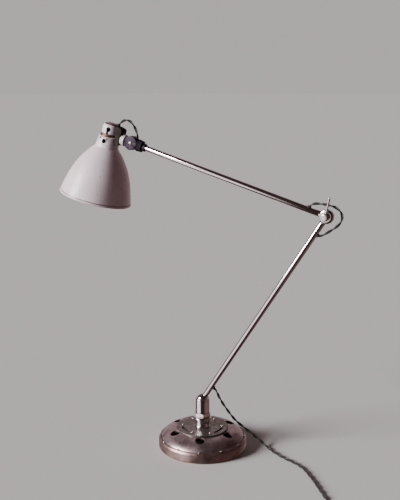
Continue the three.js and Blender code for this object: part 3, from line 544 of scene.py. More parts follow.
# -- Cords --
HEAD_ROUTE = [
    (-204.9, 1.5, 722.2), (-201.3, 1.4, 726.1), (-196.3, 1.2, 729.8), (-189.5, 1, 732.8),
    (-182, 0.9, 732.7), (-174.8, 0.9, 729.2), (-168.3, 0.9, 722.3), (-163.2, 0.9, 713.8),
    (-160, 0.9, 705.3), (-158.3, 0.9, 697.8),
]
ELBOW_ROUTE = [
    (241.8, 0, 572.7), (246.4, 0.1, 575), (252.4, 0.3, 576.5), (261, 0.6, 576.6), (272.7, 1, 575.6),
    (284, 1, 573.9), (293.5, 0.9, 570.9), (301.4, 0.6, 565.6), (306.5, 0.3, 558), (307.4, 0, 549),
    (303.6, 0, 539.6), (296.4, 0, 531.6), (286.8, 0, 524.6), (277.6, 0, 518), (270, 0, 513.2),
    (262.8, 0, 510.6),
]
TAIL_ROUTE = [
    (29.9, 0, 141.2), (32.4, 0.4, 138.2), (35, 2, 131.5), (39.2, 5, 120), (45.5, 9.2, 106),
    (56.5, 15.8, 86), (70.4, 23.4, 65), (90.5, 34.2, 43.4), (107, 42.5, 27.5), (123, 48, 14),
    (138, 45.5, 5.6), (153, 35.4, 3.2), (171, 22.5, 3.2), (191, 10.6, 3.2), (210, 2, 3.2),
    (228, -6.6, 3.2), (246.9, -19.7, 3.2), (264.2, -38.7, 3.2), (288, -68, 3.2), (306, -93, 3.2),
    (324, -117.5, 3.2), (337, -134.5, 3.2), (345, -148.5, 3.2), (350, -161.5, 3.2),
]
COIL_CENTRE = (399, -185)
COIL_OUTER, COIL_INNER = 42.3, 30.0  # cord's own line in the widest and narrowest turns
LAYER_LOW, LAYER_HIGH = 3.3, 9.5
PLUG_RADIUS = 14


def coil_route():
    """Two flat layers of turns: in along the lower one, up on the inside, and out along the upper one."""
    route = []
    start, turns_in, turns_up, turns_out, last = 178, 2.0, 0.75, 2.0, 0.494
    total = turns_in + turns_up + turns_out + last
    steps = round(total * 24)
    for k in range(steps + 1):
        t = total * k / steps
        wind = COIL_OUTER - COIL_INNER
        if t < turns_in:
            radius = COIL_OUTER - wind * t / turns_in + 3.2 * max(0, 1 - t / 0.07)
        elif t < turns_in + turns_up:
            radius = COIL_INNER
        else:
            radius = min(COIL_OUTER, COIL_INNER + wind * (t - turns_in - turns_up) / turns_out)
        climb = min(1, max(0, (t - turns_in - 0.1) / (turns_up - 0.2)))
        height = LAYER_LOW + (LAYER_HIGH - LAYER_LOW) * climb * climb * (3 - 2 * climb)
        angle = radians(start + 360 * t)
        x, y = COIL_CENTRE
        route.append((x + radius * cos(angle), y + radius * sin(angle), height))
    return route


def smooth_line(points, step=1.6):
    """Evenly spaced points, in millimetres, on a smooth curve through the route."""
    points = [Vector(p) for p in points]
    ends = [2 * points[0] - points[1]] + points + [2 * points[-1] - points[-2]]
    fine = []
    for a, b, c, d in zip(ends, ends[1:], ends[2:], ends[3:]):
        for k in range(12):
            t = k / 12
            start = 2 * b + (c - a) * t + (2 * a - 5 * b + 4 * c - d) * t**2
            fine.append(0.5 * (start + (3 * b - a - 3 * c + d) * t**3))
    fine.append(points[-1])
    lengths = [0.0]
    for a, b in zip(fine, fine[1:]):
        lengths.append(lengths[-1] + (b - a).length)
    count = max(2, round(lengths[-1] / step))
    line, at = [], 0
    for k in range(count + 1):
        goal = lengths[-1] * k / count
        while at < len(fine) - 2 and lengths[at + 1] < goal:
            at += 1
        span = max(1e-9, lengths[at + 1] - lengths[at])
        line.append(fine[at].lerp(fine[at + 1], min(1, (goal - lengths[at]) / span)))
    return line, lengths[-1]


def twisted_pair(name, line, length, snug=8.0, sides=12):
    """Two braided strands wound round each other along a line, drawn together at each end."""
    bm = bmesh.new()
    uv = bm.loops.layers.uv.new("braid")
    step = length / (len(line) - 1)
    tangents = [(b - a).normalized() for a, b in zip([line[0]] + line[:-1], line[1:] + [line[-1]])]
    side = tangents[0].orthogonal().normalized()
    frames = []
    for tangent in tangents:
        side = (side - tangent * side.dot(tangent)).normalized()
        frames.append((side, tangent.cross(side)))
    for phase in (0, pi):
        rings = []
        for k, (point, (u, v)) in enumerate(zip(line, frames)):
            along = k * step
            open_up = min(1, min(along, length - along) / snug)
            apart = SNUG + (CORD / 2 - STRAND_RADIUS - SNUG) * open_up
            angle = 2 * pi * along / TWIST_PITCH + phase
            centre = point + apart * (cos(angle) * u + sin(angle) * v)
            ring = []
            for n in range(sides):
                a = 2 * pi * n / sides + angle
                skin = centre + STRAND_RADIUS * (cos(a) * u + sin(a) * v)
                ring.append(bm.verts.new(skin * MM))
            rings.append(ring)
        for k, (low, high) in enumerate(zip(rings, rings[1:])):
            for n in range(sides):
                m = (n + 1) % sides
                face = bm.faces.new([low[n], low[m], high[m], high[n]])
                corners = [(k, n), (k, n + 1), (k + 1, n + 1), (k + 1, n)]
                for loop, (i, j) in zip(face.loops, corners):
                    loop[uv].uv = (i * step * MM, j / sides)
        bm.faces.new(list(reversed(rings[0])))
        bm.faces.new(rings[-1])
    mesh = bpy.data.meshes.new(name)
    bmesh.ops.recalc_face_normals(bm, faces=bm.faces)
    bm.to_mesh(mesh)
    bm.free()
    mesh.shade_smooth()
    mesh.materials.append(FLEX)
    return place(name, mesh)


def inwards(matrix, along, off=TUBE_RADIUS - 0.4):
    """A point inside an arm's or fitting's cord hole, in millimetres."""
    return tuple(matrix @ Vector((off * MM, 0, along * MM)) / MM)


def make_cord(name, route, nodes, with_pieces=()):
    line, measured = smooth_line(route)
    cord = twisted_pair(name, line, measured)
    for node in nodes:
        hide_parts(node)
    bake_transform(cord)
    return cord


def make_plug():
    """A round two-pin plug with a ribbed grip and a tapered sleeve, on its side beside the coil."""
    wide = PLUG_RADIUS
    low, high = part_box("plug_body")
    length = (high.x - low.x) / MM
    sleeve = [(3.4, -18), (3.9, -17)]
    for k in range(6):
        x = -15 + 2.4 * k
        r = 4.1 + 0.32 * k
        sleeve += [(r, x), (r, x + 1.3), (r - 0.7, x + 1.5), (r - 0.7, x + 2.1)]
    grip = [(6.2, 0), (8.4, 6), (11, 11), *arc(12, 14.5, 2, 150, 90, 3)]
    for k in range(5):
        x = 17 + 3.2 * k
        grip += [(wide + rib, x + z) for rib, z in ((-1, 0), (0, 0.5), (0, 1.9), (-1, 2.4))]
    end = [(wide - 0.4, 34), (wide, 34.8), *arc(wide - 1.4, length - 1.4, 1.4, 0, 90, 4)]
    body = turned("plug_shell", [(0, -18), *sleeve, *grip, *end, (0, length)], 72)
    centre = Vector((low.x, (low.y + high.y) / 2, (low.z + high.z) / 2))
    at = Matrix.Translation(centre) @ ALONG_X
    plug = fit(body, "plug_body", PHENOLIC, at)
    pins = []
    for index, offset in ((1, -7), (2, 7)):
        tip = arc(0, length + 16.9, 2.4, 0, 90, 6)[1:]
        pin = [(0, length + 0.3), (2.4, length + 0.3), (2.4, length + 17), *tip]
        made = turned(f"plug_prong_{index}", pin, 32)
        pins.append(fit(moved(made, shift(0, offset, 0)), f"plug_pin_{index}", STEEL, at))
    return [plug, *pins], centre


def make_tie():
    """A narrow cotton tape round the coil's turns."""
    bm = bmesh.new()
    half_wide, low, high, skin = 9.6, 0.45, 12.6, 0.4
    middle = (COIL_OUTER + COIL_INNER) / 2
    centre_z, half_high = (low + high) / 2, (high - low) / 2
    loops = []
    for outward in (0, skin):
        for across in (-2.2, 2.2):
            ring = []
            for k in range(48):
                a = 2 * pi * k / 48
                squarish = (abs(cos(a)) ** 3.2 + abs(sin(a)) ** 3.2) ** (-1 / 3.2)
                r = middle + (half_wide + outward) * squarish * cos(a)
                z = centre_z + (half_high + outward) * squarish * sin(a)
                ring.append(bm.verts.new((r * MM, across * MM, z * MM)))
            loops.append(ring)
    inner_a, inner_b, outer_a, outer_b = loops
    for first, second in ((inner_a, inner_b), (inner_b, outer_b), (outer_b, outer_a), (outer_a, inner_a)):
        for k in range(48):
            n = (k + 1) % 48
            bm.faces.new([first[k], first[n], second[n], second[k]])
    tie = to_object("coil_tie", bm)
    x, y = COIL_CENTRE
    at = shift(x, y, 0) @ spin("Z", 118)
    return fit(tie, None, TAPE, at, like="cord_coil")


def make_cords():
    plug, socket = make_plug()
    sleeve_end = tuple(socket / MM - Vector((17, 0, 0)))
    tail_bore = inwards(LOWER, TAIL_EXIT)
    approach = (sleeve_end[0] - 9, sleeve_end[1] - 0.2, 12.4)
    tail = [tail_bore, *TAIL_ROUTE, *coil_route(), approach, sleeve_end]
    make_cord(
        "flex_tail", tail, ["tail_cord", "cord_coil"],
        [*plug, make_tie()],
    )
    elbow = [
        inwards(UPPER, ELBOW_EXIT_UPPER), *ELBOW_ROUTE,
        inwards(LOWER_END, -ELBOW_EXIT_LOWER),
    ]
    make_cord(
        "flex_elbow", elbow, ["elbow_cord"],
    )
    gland = SHADE_AXIS @ CAP_SHOULDER
    head = [tuple(gland @ Vector((0, 0, -1.5 * MM)) / MM), *HEAD_ROUTE]
    head.append(inwards(KNUCKLE, -9.5, FORK_RADIUS - 1))
    make_cord(
        "flex_head", head, ["head_cord"],
    )


make_camera()
make_cords()


# -- Small hardware --
def slotted(name, radius, height, shank, depth, slot=0.8, sides=40):
    """A round-headed screw, head up, with a straight slot. The head sits on z = 0."""
    dome = bezier([(radius, 0.25 * height), (radius * 0.96, height), (0, height)], 8)
    low = [(0, -depth), (shank - 0.3, -depth), (shank, 0.3 - depth), (shank, 0), (radius - 0.25, 0)]
    screw = turned(name, [*low, *dome[:-1], (0, height)], sides)
    groove = block("groove", (-radius - 1, radius + 1), (-slot / 2, slot / 2), (0.45 * height, height + 1))
    return cut(screw, groove)


# -- Base --
VENTS, VENT_RADIUS, FIRST_VENT = 6, 11, -70
SLOTS, SLOT_WIDTH, SLOT_HALF, SCREW_HALF = 3, 6, 20, 33
RIM_SCREWS = 12


def around(radius, degrees):
    return radius * cos(radians(degrees)), radius * sin(radians(degrees))


def make_base():
    r, top, wide, peak = BASE_RADIUS, SKIRT_TOP, DOME_RADIUS, DOME_TOP
    inner = r - 5
    ledge = top - 4.3
    low = SKIRT_LOW
    skirt = [
        (inner, low), *arc(r - 1.6, low + 1.6, 1.6, -90, 0, 5),
        *bezier([(r, top - 6), (r, top - 5.2), (r - 0.6, top - 4.5)], 5),
        *bezier([(r - 1.1, top - 3.9), (r - 2.2, top - 0.9), (inner + 1.1, top)], 8),
        (inner + 0.5, top - 0.2), (inner, top - 0.9), (inner, ledge), (inner - 7, ledge),
        (inner - 7, ledge - 3), (inner - 1, ledge - 6),
    ]
    fit(turned("rim_casting", skirt, 160), "base_skirt", CAST_RIM, angle=30)

    seat = PLATE_RADIUS - 2
    crown = wide - 0.3 * (wide - seat)
    slope = bezier([(wide, top), (crown, peak - 2), (seat, peak)], 26)
    under = [(x - 2, z - 4) for x, z in reversed(slope[1:-1])]
    dome = [
        (BORE, peak - 4), (seat, peak - 4), *under, (wide - 3, top - 4),
        (wide - 0.5, top - 4), (wide, top - 3.5), (wide, top - 0.6),
        (wide - 0.9, top + 1), *slope[2:], (BORE, peak),
    ]
    cover = turned("base_cover", dome, 160)
    circle = PLATE_RADIUS + VENT_RADIUS - 1.5
    for k in range(VENTS):
        x, y = around(circle, FIRST_VENT + 360 / VENTS * k)
        vent = rod("vent", VENT_RADIUS, top - 10, peak + 6, 64)
        cut(cover, moved(vent, shift(x, y, 0)))
    fit(ease(cover, 0.8, 3, 40), "base_dome", CAST, angle=30)

    for k in range(RIM_SCREWS):
        x, y = around(inner + 0.3, FIRST_VENT + 360 / RIM_SCREWS * k)
        screw = slotted(f"rim_screw_{k + 1}", 2.9, 1.7, 1.6, 3, 0.8)
        at = shift(x, y, top - 0.2)
        fit(moved(screw, spin("Z", 40 * k)), None, STEEL, at, like="plate_screw_1")


def make_top_plate():
    r, low, top = PLATE_RADIUS, PLATE_LOW, PLATE_TOP
    profile = [
        (BORE, low), (r - 0.3, low), (r, low + 0.3),
        *arc(r - 1.1, top - 1.1, 1.1, 0, 90, 5), (r - 1.8, top), (BORE, top),
    ]
    plate = turned("cover_plate", profile, 160)
    circle = r - 13.5
    index = 0
    for k in range(SLOTS):
        middle = FIRST_VENT - 60 + 360 / SLOTS * k
        turns = [middle - SLOT_HALF + 2 * SLOT_HALF * n / 16 for n in range(17)]
        outline = [around(circle + SLOT_WIDTH / 2, a) for a in turns]
        outline += [around(circle - SLOT_WIDTH / 2, a) for a in reversed(turns)]
        cut(plate, prism("kidney", outline, low - 1, top + 1))
        for side in (-1, 1):
            index += 1
            x, y = around(circle, middle + side * SCREW_HALF)
            screw = slotted(f"plate_fixing_{index}", 3, 2, 1.5, 2.4)
            screw = moved(screw, spin("Z", 35 + 50 * index))
            fit(screw, f"plate_screw_{index}", STEEL, shift(x, y, top + 0.2))
    fit(ease(plate, 0.35, 2, 40), "top_plate", PLATE, angle=30)


# -- Post --
def make_post():
    r = BARREL_RADIUS
    low, top = FOOT_LOW, FOOT_TOP
    flange = top - 6.5
    foot = [
        (BORE, low), *arc(r + 0.4, low + 0.6, 0.6, -90, 0, 3), *arc(r + 0.4, low + 1.9, 0.6, 0, 90, 3),
        (r, low + 3.2), (r, low + 7.8), *arc(r - 0.1, low + 9.3, 1.1, -120, -240, 6)[::-1],
        (r, low + 10.9), (r - 0.4, flange - 0.4), (r, flange),
        *arc(FLANGE_RADIUS - 1.4, flange + 1.4, 1.4, -90, 0, 5),
        *arc(FLANGE_RADIUS - 1.8, top - 2.4, 1.8, 0, 60, 5), (r + 0.8, top - 0.2), (r + 0.2, top), (BORE, top),
    ]
    fit(turned("post_casting", foot, 128), "post_foot", CHROME)

    across = (r + 0.4) / cos(pi / 6)
    hexagon = [around(across, 60 * k) for k in range(6)]
    nut = prism("hex_nut", hexagon, NUT_LOW, NUT_TOP)
    chamfer = [
        (0, NUT_LOW - 1), (r + 0.9, NUT_LOW - 1), (r + 0.9, NUT_LOW), (across + 0.2, NUT_LOW + 1.4),
        (across + 0.2, NUT_TOP - 1.4), (r + 0.9, NUT_TOP), (r + 0.9, NUT_TOP + 1), (0, NUT_TOP + 1),
    ]
    nut = combine(nut, [turned("chamfer", chamfer, 96)], "INTERSECT")
    cut(nut, rod("bore", BORE, NUT_LOW - 2, NUT_TOP + 2))
    fit(ease(nut, 0.3, 2, 25), "lock_nut", CHROME, angle=20)

    bore = BALL_RADIUS + 0.4
    barrel = [
        (BORE, BARREL_LOW), (r - 0.9, BARREL_LOW), (r, BARREL_LOW + 0.9), (r, BARREL_TOP - 0.4),
        (r - 0.4, BARREL_TOP), (bore, BARREL_TOP), (bore, BARREL_LOW + 5), (BORE, BARREL_LOW + 5),
    ]
    fit(turned("socket_tube", barrel, 128), "socket_barrel", CHROME)

    low, high = BARREL_TOP + 0.3, BARREL_TOP + 5.3
    centre = BALL.z / MM
    seat = BALL_RADIUS + 0.3
    lip = [(sqrt(seat**2 - (z - centre) ** 2), z) for z in (high, low + 3.4, low + 1.7, low)]
    lip[0] = (lip[0][0] + 0.7, high)
    cap = [*lip, (r - 0.3, low), (r, low + 0.3), (r, high - 2.2), *arc(r - 1.7, high - 1.9, 1.7, 0, 70, 6)]
    fit(turned("socket_ring", cap, 128), "socket_cap", CHROME)


# -- Arms --
def bushing(name, node, along, matrix):
    """A thin black bush lining a cord hole in a tube's side."""
    tip = TUBE_RADIUS + 1.5
    profile = [
        (2.6, TUBE_BORE - 0.2), (GROMMET - 0.3, TUBE_BORE - 0.2), (GROMMET - 0.3, TUBE_RADIUS + 0.6),
        *arc(GROMMET - 0.7, tip - 0.8, 0.8, 0, 90, 5), *arc(3.2, tip - 0.6, 0.6, 90, 180, 4),
    ]
    bush = turned(name, profile, 48)
    fit(moved(bush, shift(0, 0, along) @ ALONG_X), node, RUBBER, matrix)


def arm_tube(name, node, low, high, holes, matrix):
    tube = turned(name, [(TUBE_BORE, low), (TUBE_RADIUS, low), (TUBE_RADIUS, high), (TUBE_BORE, high)], 96)
    for along in holes:
        cut(tube, moved(rod("hole", GROMMET, 0, TUBE_RADIUS + 3), shift(0, 0, along) @ ALONG_X))
    fit(ease(tube, 0.25, 2, 50), node, ARM_CHROME, matrix, angle=40)


def half_eye(name):
    """Half of the elbow, on its +Y side, with its arm coming from -Z."""
    r = EYE_RADIUS
    outer = TUBE_RADIUS
    start = r + 1.5
    rounded = [(0, EYE_FACE), (r - 0.3, EYE_FACE), (r, EYE_FACE + 0.3)]
    rounded += bezier([(r, outer - 3), (r - 0.2, outer - 0.8), (r - 4.6, outer)], 10)
    rounded.append((0, outer))
    eye = moved(turned(name, rounded, 96), ALONG_Y)
    neck = [
        (0, -start - 12), (SPIGOT, -start - 12), (SPIGOT, -start), (outer - 0.3, -start), (outer, 0.3 - start),
        (outer, -7.5), (0, -7.5),
    ]
    join(eye, turned("neck", neck, 64))
    lap = moved(rod("lap", r + 0.6, -TUBE_RADIUS - 1, EYE_FACE, 96), ALONG_Y)
    bore = moved(rod("bore", BOLT_BORE, -20, 20), ALONG_Y)
    return cut(eye, lap, bore)


def make_arms():
    ball_low = BALL_RADIUS * cos(asin(TUBE_RADIUS / BALL_RADIUS))
    arc_end = degrees(acos(TUBE_RADIUS / BALL_RADIUS))
    ball = arc(0, 0, BALL_RADIUS, -90, arc_end, 40)
    ball[0] = (0, -BALL_RADIUS)
    ball += [(SPIGOT, ball_low), (SPIGOT, ball_low + 12), (0, ball_low + 12)]
    fit(turned("ball_end", ball, 96), "ball", CHROME, LOWER)

    low_end = LOWER_LENGTH - EYE_RADIUS - 1.8
    elbow_hole = LOWER_LENGTH - ELBOW_EXIT_LOWER
    arm_tube("arm_tube_lower", "lower_tube", ball_low + 0.3, low_end, (TAIL_EXIT, elbow_hole), LOWER)
    high_end = UPPER_LENGTH - COLLAR_START - 3
    arm_tube("arm_tube_upper", "upper_tube", EYE_RADIUS + 1.8, high_end, (ELBOW_EXIT_UPPER,), UPPER)
    bushing("tail_bush", "tail_grommet", TAIL_EXIT, LOWER)
    bushing("elbow_bush_lower", "elbow_grommet_lower", elbow_hole, LOWER)
    bushing("elbow_bush_upper", "elbow_grommet_upper", ELBOW_EXIT_UPPER, UPPER)


def make_elbow():
    r, far = HUB_RADIUS, HUB_FAR
    fit(half_eye("elbow_eye_lower"), "lower_eye", CHROME, LOWER_END, angle=30)
    fit(moved(half_eye("elbow_eye_upper"), spin("X", 180)), "upper_eye", CHROME, UPPER, angle=30)

    near = TUBE_RADIUS + 0.3

    def washer(name, node, radius, matrix, flip):
        profile = [
            (BOLT_BORE, near), (radius - 0.3, near), (radius, near + 0.3), (radius, near + 0.8),
            (radius - 0.3, near + 1.1), (BOLT_BORE, near + 1.1),
        ]
        fit(moved(turned(name, profile, 72), flip), node, STEEL, matrix)

    washer("elbow_washer_front", "front_washer", 11, UPPER, ALONG_MINUS_Y)
    washer("elbow_washer_back", "back_washer", 10, LOWER_END, ALONG_Y)

    # Bolt: hexagon head behind, plain shank through both eyes, end hidden in the lever's hub.
    low, high = HUB_NEAR, HUB_NEAR + 4.6
    head = prism("elbow_pin", [around(7.4, 60 * k) for k in range(6)], low, high)
    crown = [
        (0, low - 1), (7.6, low - 1), (7.6, high - 0.9), (6.5, high), (6.5, high + 1),
        (0, high + 1),
    ]
    combine(head, [turned("crown", crown, 64)], "INTERSECT")
    join(head, rod("shank", BOLT_RADIUS, 0.3 - far + 2, low + 1))
    fit(moved(ease(head, 0.25, 2, 25), ALONG_Y), "elbow_bolt", STEEL, LOWER_END, angle=25)

    middle = (HUB_NEAR + far) / 2
    hub = [
        (BOLT_BORE, HUB_NEAR), (r - 0.6, HUB_NEAR), (r, HUB_NEAR + 0.6), (r, far - 2),
        *arc(r - 1.4, far - 1.7, 1.4, 0, 70, 6), (r - 2.6, far), (0, far),
        (0, far - 1.7), (BOLT_BORE, far - 1.7),
    ]
    boss = moved(turned("clamp_hub", hub, 96), ALONG_MINUS_Y)
    cut(boss, moved(rod("seat", 2.3, r - 2.4, r + 2), shift(0, -middle, 0)))
    fit(boss, "lever_hub", CHROME, LEVER, angle=30)

    start = r - 2.1
    tip = arc(0, LEVER_REACH - 2.4, 2.4, 0, 90, 8)[:-1]
    bar = [(0, start), (2, start), (2.3, 11), (2.2, 24), (2.4, LEVER_REACH - 5), *tip, (0, LEVER_REACH)]
    fit(moved(turned("clamp_bar", bar, 48), shift(0, -middle, 0)), "lever_rod", CHROME, LEVER)


# -- Knuckle --
def make_knuckle():
    r, half, wide = FORK_RADIUS, FORK_HALF, COLLAR_RADIUS
    stop = UPPER_LENGTH - COLLAR_START - COLLAR_LENGTH - 0.3
    inner = TUBE_RADIUS + 0.3
    ring = [
        (inner, stop - 7), (8.35, stop - 7), (8.75, stop - 6.6), (8.75, stop - 0.4), (8.35, stop),
        (inner, stop),
    ]
    collar = turned("stop_ring", ring, 72)
    cut(collar, moved(rod("pin_hole", 1.9, 0, 12, 24), shift(0, 0, stop - 3.5) @ ALONG_X))
    fit(collar, "stop_collar", GUNMETAL, UPPER, angle=30)
    pin = slotted("stop_pin", 1.6, 1.2, 1.6, 3.4, 0.5, 24)
    at = shift(TUBE_RADIUS + 3.8, 0, stop - 3.5) @ ALONG_X
    fit(moved(pin, at), "stop_screw", STEEL, UPPER)

    def knurl(angle, radius, height):
        inside = radius > wide - 1.7
        near_end = min(1, max(0, (height + COLLAR_START + COLLAR_LENGTH - 1.2) / 1.2))
        far_end = min(1, max(0, (-height - COLLAR_START - 1.2) / 1.2))
        cross = abs(sin(18 * angle + 1.05 * height)) * abs(sin(18 * angle - 1.05 * height))
        return -0.75 * (1 - cross) * min(near_end, far_end) if inside else 0

    low, high = -COLLAR_START - COLLAR_LENGTH, -COLLAR_START
    rows = 34
    wall = []
    for k in range(rows + 1):
        t = k / rows
        wall.append((wide - 1.2 + 1.2 * t, low + 0.8 + (high - low - 1.6) * t))
    profile = [(inner, low), (wide - 2.2, low), *wall, (wide - 0.8, high), (inner, high)]
    fit(turned("knurled_ring", profile, 288, knurl), "knurled_collar", GUNMETAL, KNUCKLE, angle=60)

    rounded = [(0, -half), *arc(r - 1.4, 1.4 - half, 1.4, -90, 0, 5)]
    rounded += [*arc(r - 1.4, half - 1.4, 1.4, 0, 90, 5), (0, half)]
    fork = moved(turned("fork", rounded, 128), ALONG_Y)
    neck = rod("fork_neck", wide - 1.5, 0.4 - r, -7.7, 96)
    slot = block("slot", (-40, 40), (-TONGUE_HALF - 0.3, TONGUE_HALF + 0.3), (2.2 - r, 40))
    bore = moved(rod("bore", PIVOT_BORE, -20, half - 1.5), ALONG_Y)
    seat = moved(rod("seat", 4.5, -20, 1.5 - half), ALONG_Y)
    hollow = [(x, z - half) for x, z in ((6.2, -1), (11.6, -1), (11.6, 0.5), (6.2, 0.5))]
    dish = moved(turned("dish", hollow, 96), ALONG_Y)
    join(fork, neck)
    cut(fork, slot, bore, seat, dish)
    fit(ease(fork, 0.3, 2, 45), "knuckle_fork", GUNMETAL, KNUCKLE, angle=35)

    screw = slotted("pivot_screw", 3.9, 2.0, 2.5, 2 * half - 3.4, 1.0, 48)
    at = shift(0, 1.3 - half, 0) @ ALONG_MINUS_Y @ spin("Z", 35)
    fit(moved(screw, at), "tilt_screw", STEEL, KNUCKLE, angle=30)


# -- Shade --
def make_shell():
    top, neck, crease, r = NECK_TOP, NECK_RADIUS, CREASE_RADIUS, SHADE_RADIUS
    def lip_drop(vertex):
        """The lip under the crown slopes down towards the front."""
        x, y = vertex.co.xy
        return (SEAM_DROP / 2) * (1 - y / hypot(x, y)) * MM if vertex.co.z > (top - 3) * MM else 0

    rim = 1.5
    bell = bezier([(crease, NECK_LOW), (57.3, -57.9), (72.2, -94.8), (r - rim, MOUTH + 3)], 44)
    outside = [
        *arc(neck + 0.9, top - 0.6, 0.6, 90, 0, 4), (neck + 1.5, top - 1.4),
        (neck + 0.5, top - 2.6), *bezier([(crease - 2.3, -12), (crease, NECK_LOW)], 6)[:-1],
        *bell, *arc(r - rim - 0.2, MOUTH + rim, rim, 40, -150, 12),
    ]
    inside = [(x - SHADE_WALL, z) for x, z in reversed(bell)]
    inside += [(neck - SHADE_WALL, top - 2.6), (neck - SHADE_WALL, top - 0.3), (neck - 1.3, top)]
    shell = turned("shade_bell", [*outside, *inside], 192)
    for vertex in shell.data.vertices:
        vertex.co.z -= lip_drop(vertex)
    hole = rod("hole", 5, 12, 40, 40)
    cut(shell, moved(hole, spin("Z", -85) @ shift(0, 0, -12) @ ALONG_X))
    fit(ease(shell, 0.3, 2, 50), "shade_shell", SHADE_ENAMEL, SHADE_AXIS, angle=32)
    shell.data.materials.append(INNER_ENAMEL)
    for face in shell.data.polygons:
        centre = face.center
        inwards_facing = face.normal.x * centre.x + face.normal.y * centre.y < 0
        if centre.z < (top - 12) * MM and inwards_facing and centre.xy.length > 15 * MM:
            face.material_index = 1


def make_cap():
    r, top = CAP_RADIUS, CAP_TOP
    low = NECK_TOP + 0.3
    wall = SHADE_WALL
    outside = [
        (r - wall + 0.3, low), (r - 0.3, low), (r, low + 0.3),
        *bezier([(r - 0.2, top - 11), (r - 0.8, top - 1.5), (r - 8.5, top)], 16),
        (0, top),
    ]
    inside = [
        (0, top - wall), (r - 9, top - wall), (r - 4.4, top - 4.4),
        (r - wall - 0.8, top - 11), (r - wall, low + 0.3),
    ]
    cap = turned("shade_crown", [*outside, *inside], 128)
    eye = moved(rod("eye", 5.2, 8, 30, 40), spin("Z", -78) @ shift(0, 0, top - 13.5) @ ALONG_X)
    slot = moved(block("slot", (8, 30), (-2.4, 2.4), (low - 1, top - 13.5)), spin("Z", -82))
    cord_hole = moved(rod("cord_hole", 3.9, -6, 6), CAP_SHOULDER)
    cut(cap, eye, slot, cord_hole)
    fit(ease(cap, 0.25, 2, 50), "shade_cap", CAP_ENAMEL, SHADE_AXIS, angle=32)

    for index, (x, y) in ((1, (4, -7.5)), (2, (-8.5, 1))):
        screw = slotted(f"crown_screw_{index}", 2.6, 1.6, 1.3, 1.4, 0.7, 32)
        at = shift(x, y, top + 0.15) @ spin("Z", 60 * index)
        fit(moved(screw, at), f"cap_screw_{index}", STEEL, SHADE_AXIS)
    gland = [
        (2.6, -3), (3.6, -3), (3.6, 0.3), (5.2, 0.3), *arc(4.5, 1.0, 0.7, 0, 80, 4), (3.6, 2.0),
        *arc(3.1, 1.3, 0.5, 90, 180, 4),
    ]
    fit(moved(turned("crown_gland", gland, 48), CAP_SHOULDER), "cord_gland", RUBBER, SHADE_AXIS)


def make_shade_mount():
    r, near, far, thin = FERRULE_RADIUS, FERRULE_NEAR, FERRULE_FAR, TONGUE_HALF
    rounded = [
        (0, -thin), *arc(12.4, 0.5 - thin, 0.5, -90, 0, 3),
        *arc(12.4, thin - 0.5, 0.5, 0, 90, 3), (0, thin),
    ]
    tongue = moved(turned("tilt_tongue", rounded, 96), ALONG_Y)
    join(tongue, block("bar", (0.3 - near, -4), (-thin, thin), (-6.5, 6.5)))
    cut(tongue, moved(rod("bore", PIVOT_BORE, -9, 9), ALONG_Y))
    fit(ease(tongue, 0.25, 2, 50), "shade_tongue", GUNMETAL, SHADE, angle=35)

    ferrule = [(0, -far), (r - 0.6, -far), (r, 0.6 - far)]
    for k in (0.3, 0.6):
        at = -far + k * (far - near)
        ferrule += [(r, at), *arc(r + 0.1, at + 0.6, 0.6, 250, 110, 5), (r, at + 1.2)]
    ferrule += [(r, -near - 1), (r - 1, -near), (0, -near)]
    fit(moved(turned("white_ferrule", ferrule, 96), ALONG_X), "neck_ferrule", WHITE_ENAMEL, SHADE)

    face = -far - 0.3
    back = CAP_RADIUS - 2 - SHADE_OFFSET
    outline = [
        (back, -r - 1), (face - 1.5, -r - 1), (face, 0.5 - r), (face, r + 5),
        (face - 0.6, r + 7.6), (face - 3, r + 10), (CAP_RADIUS + 2.6 - SHADE_OFFSET, r + 11.9),
        (back, r + 12),
    ]
    half = r - 1
    bracket = moved(prism("neck_clamp", outline, -half, half), ALONG_MINUS_Y)
    lip = NECK_RADIUS + 2
    space = [
        (0, -32), (CREASE_RADIUS + 1.4, -32), (lip, NECK_TOP - 3 - SEAM_DROP), (lip, NECK_TOP + 0.6),
        (CAP_RADIUS + 0.6, NECK_TOP + 0.6), (CAP_RADIUS + 0.6, CAP_TOP + 20), (0, CAP_TOP + 20),
    ]
    cut(bracket, moved(turned("neck_space", space, 128), shift(-SHADE_OFFSET, 0, 0)))
    # The bracket's near-black colour is painted shade.
    fit(ease(bracket, 0.7, 3, 40), "neck_bracket", SHADED_BRACKET, SHADE, angle=35)


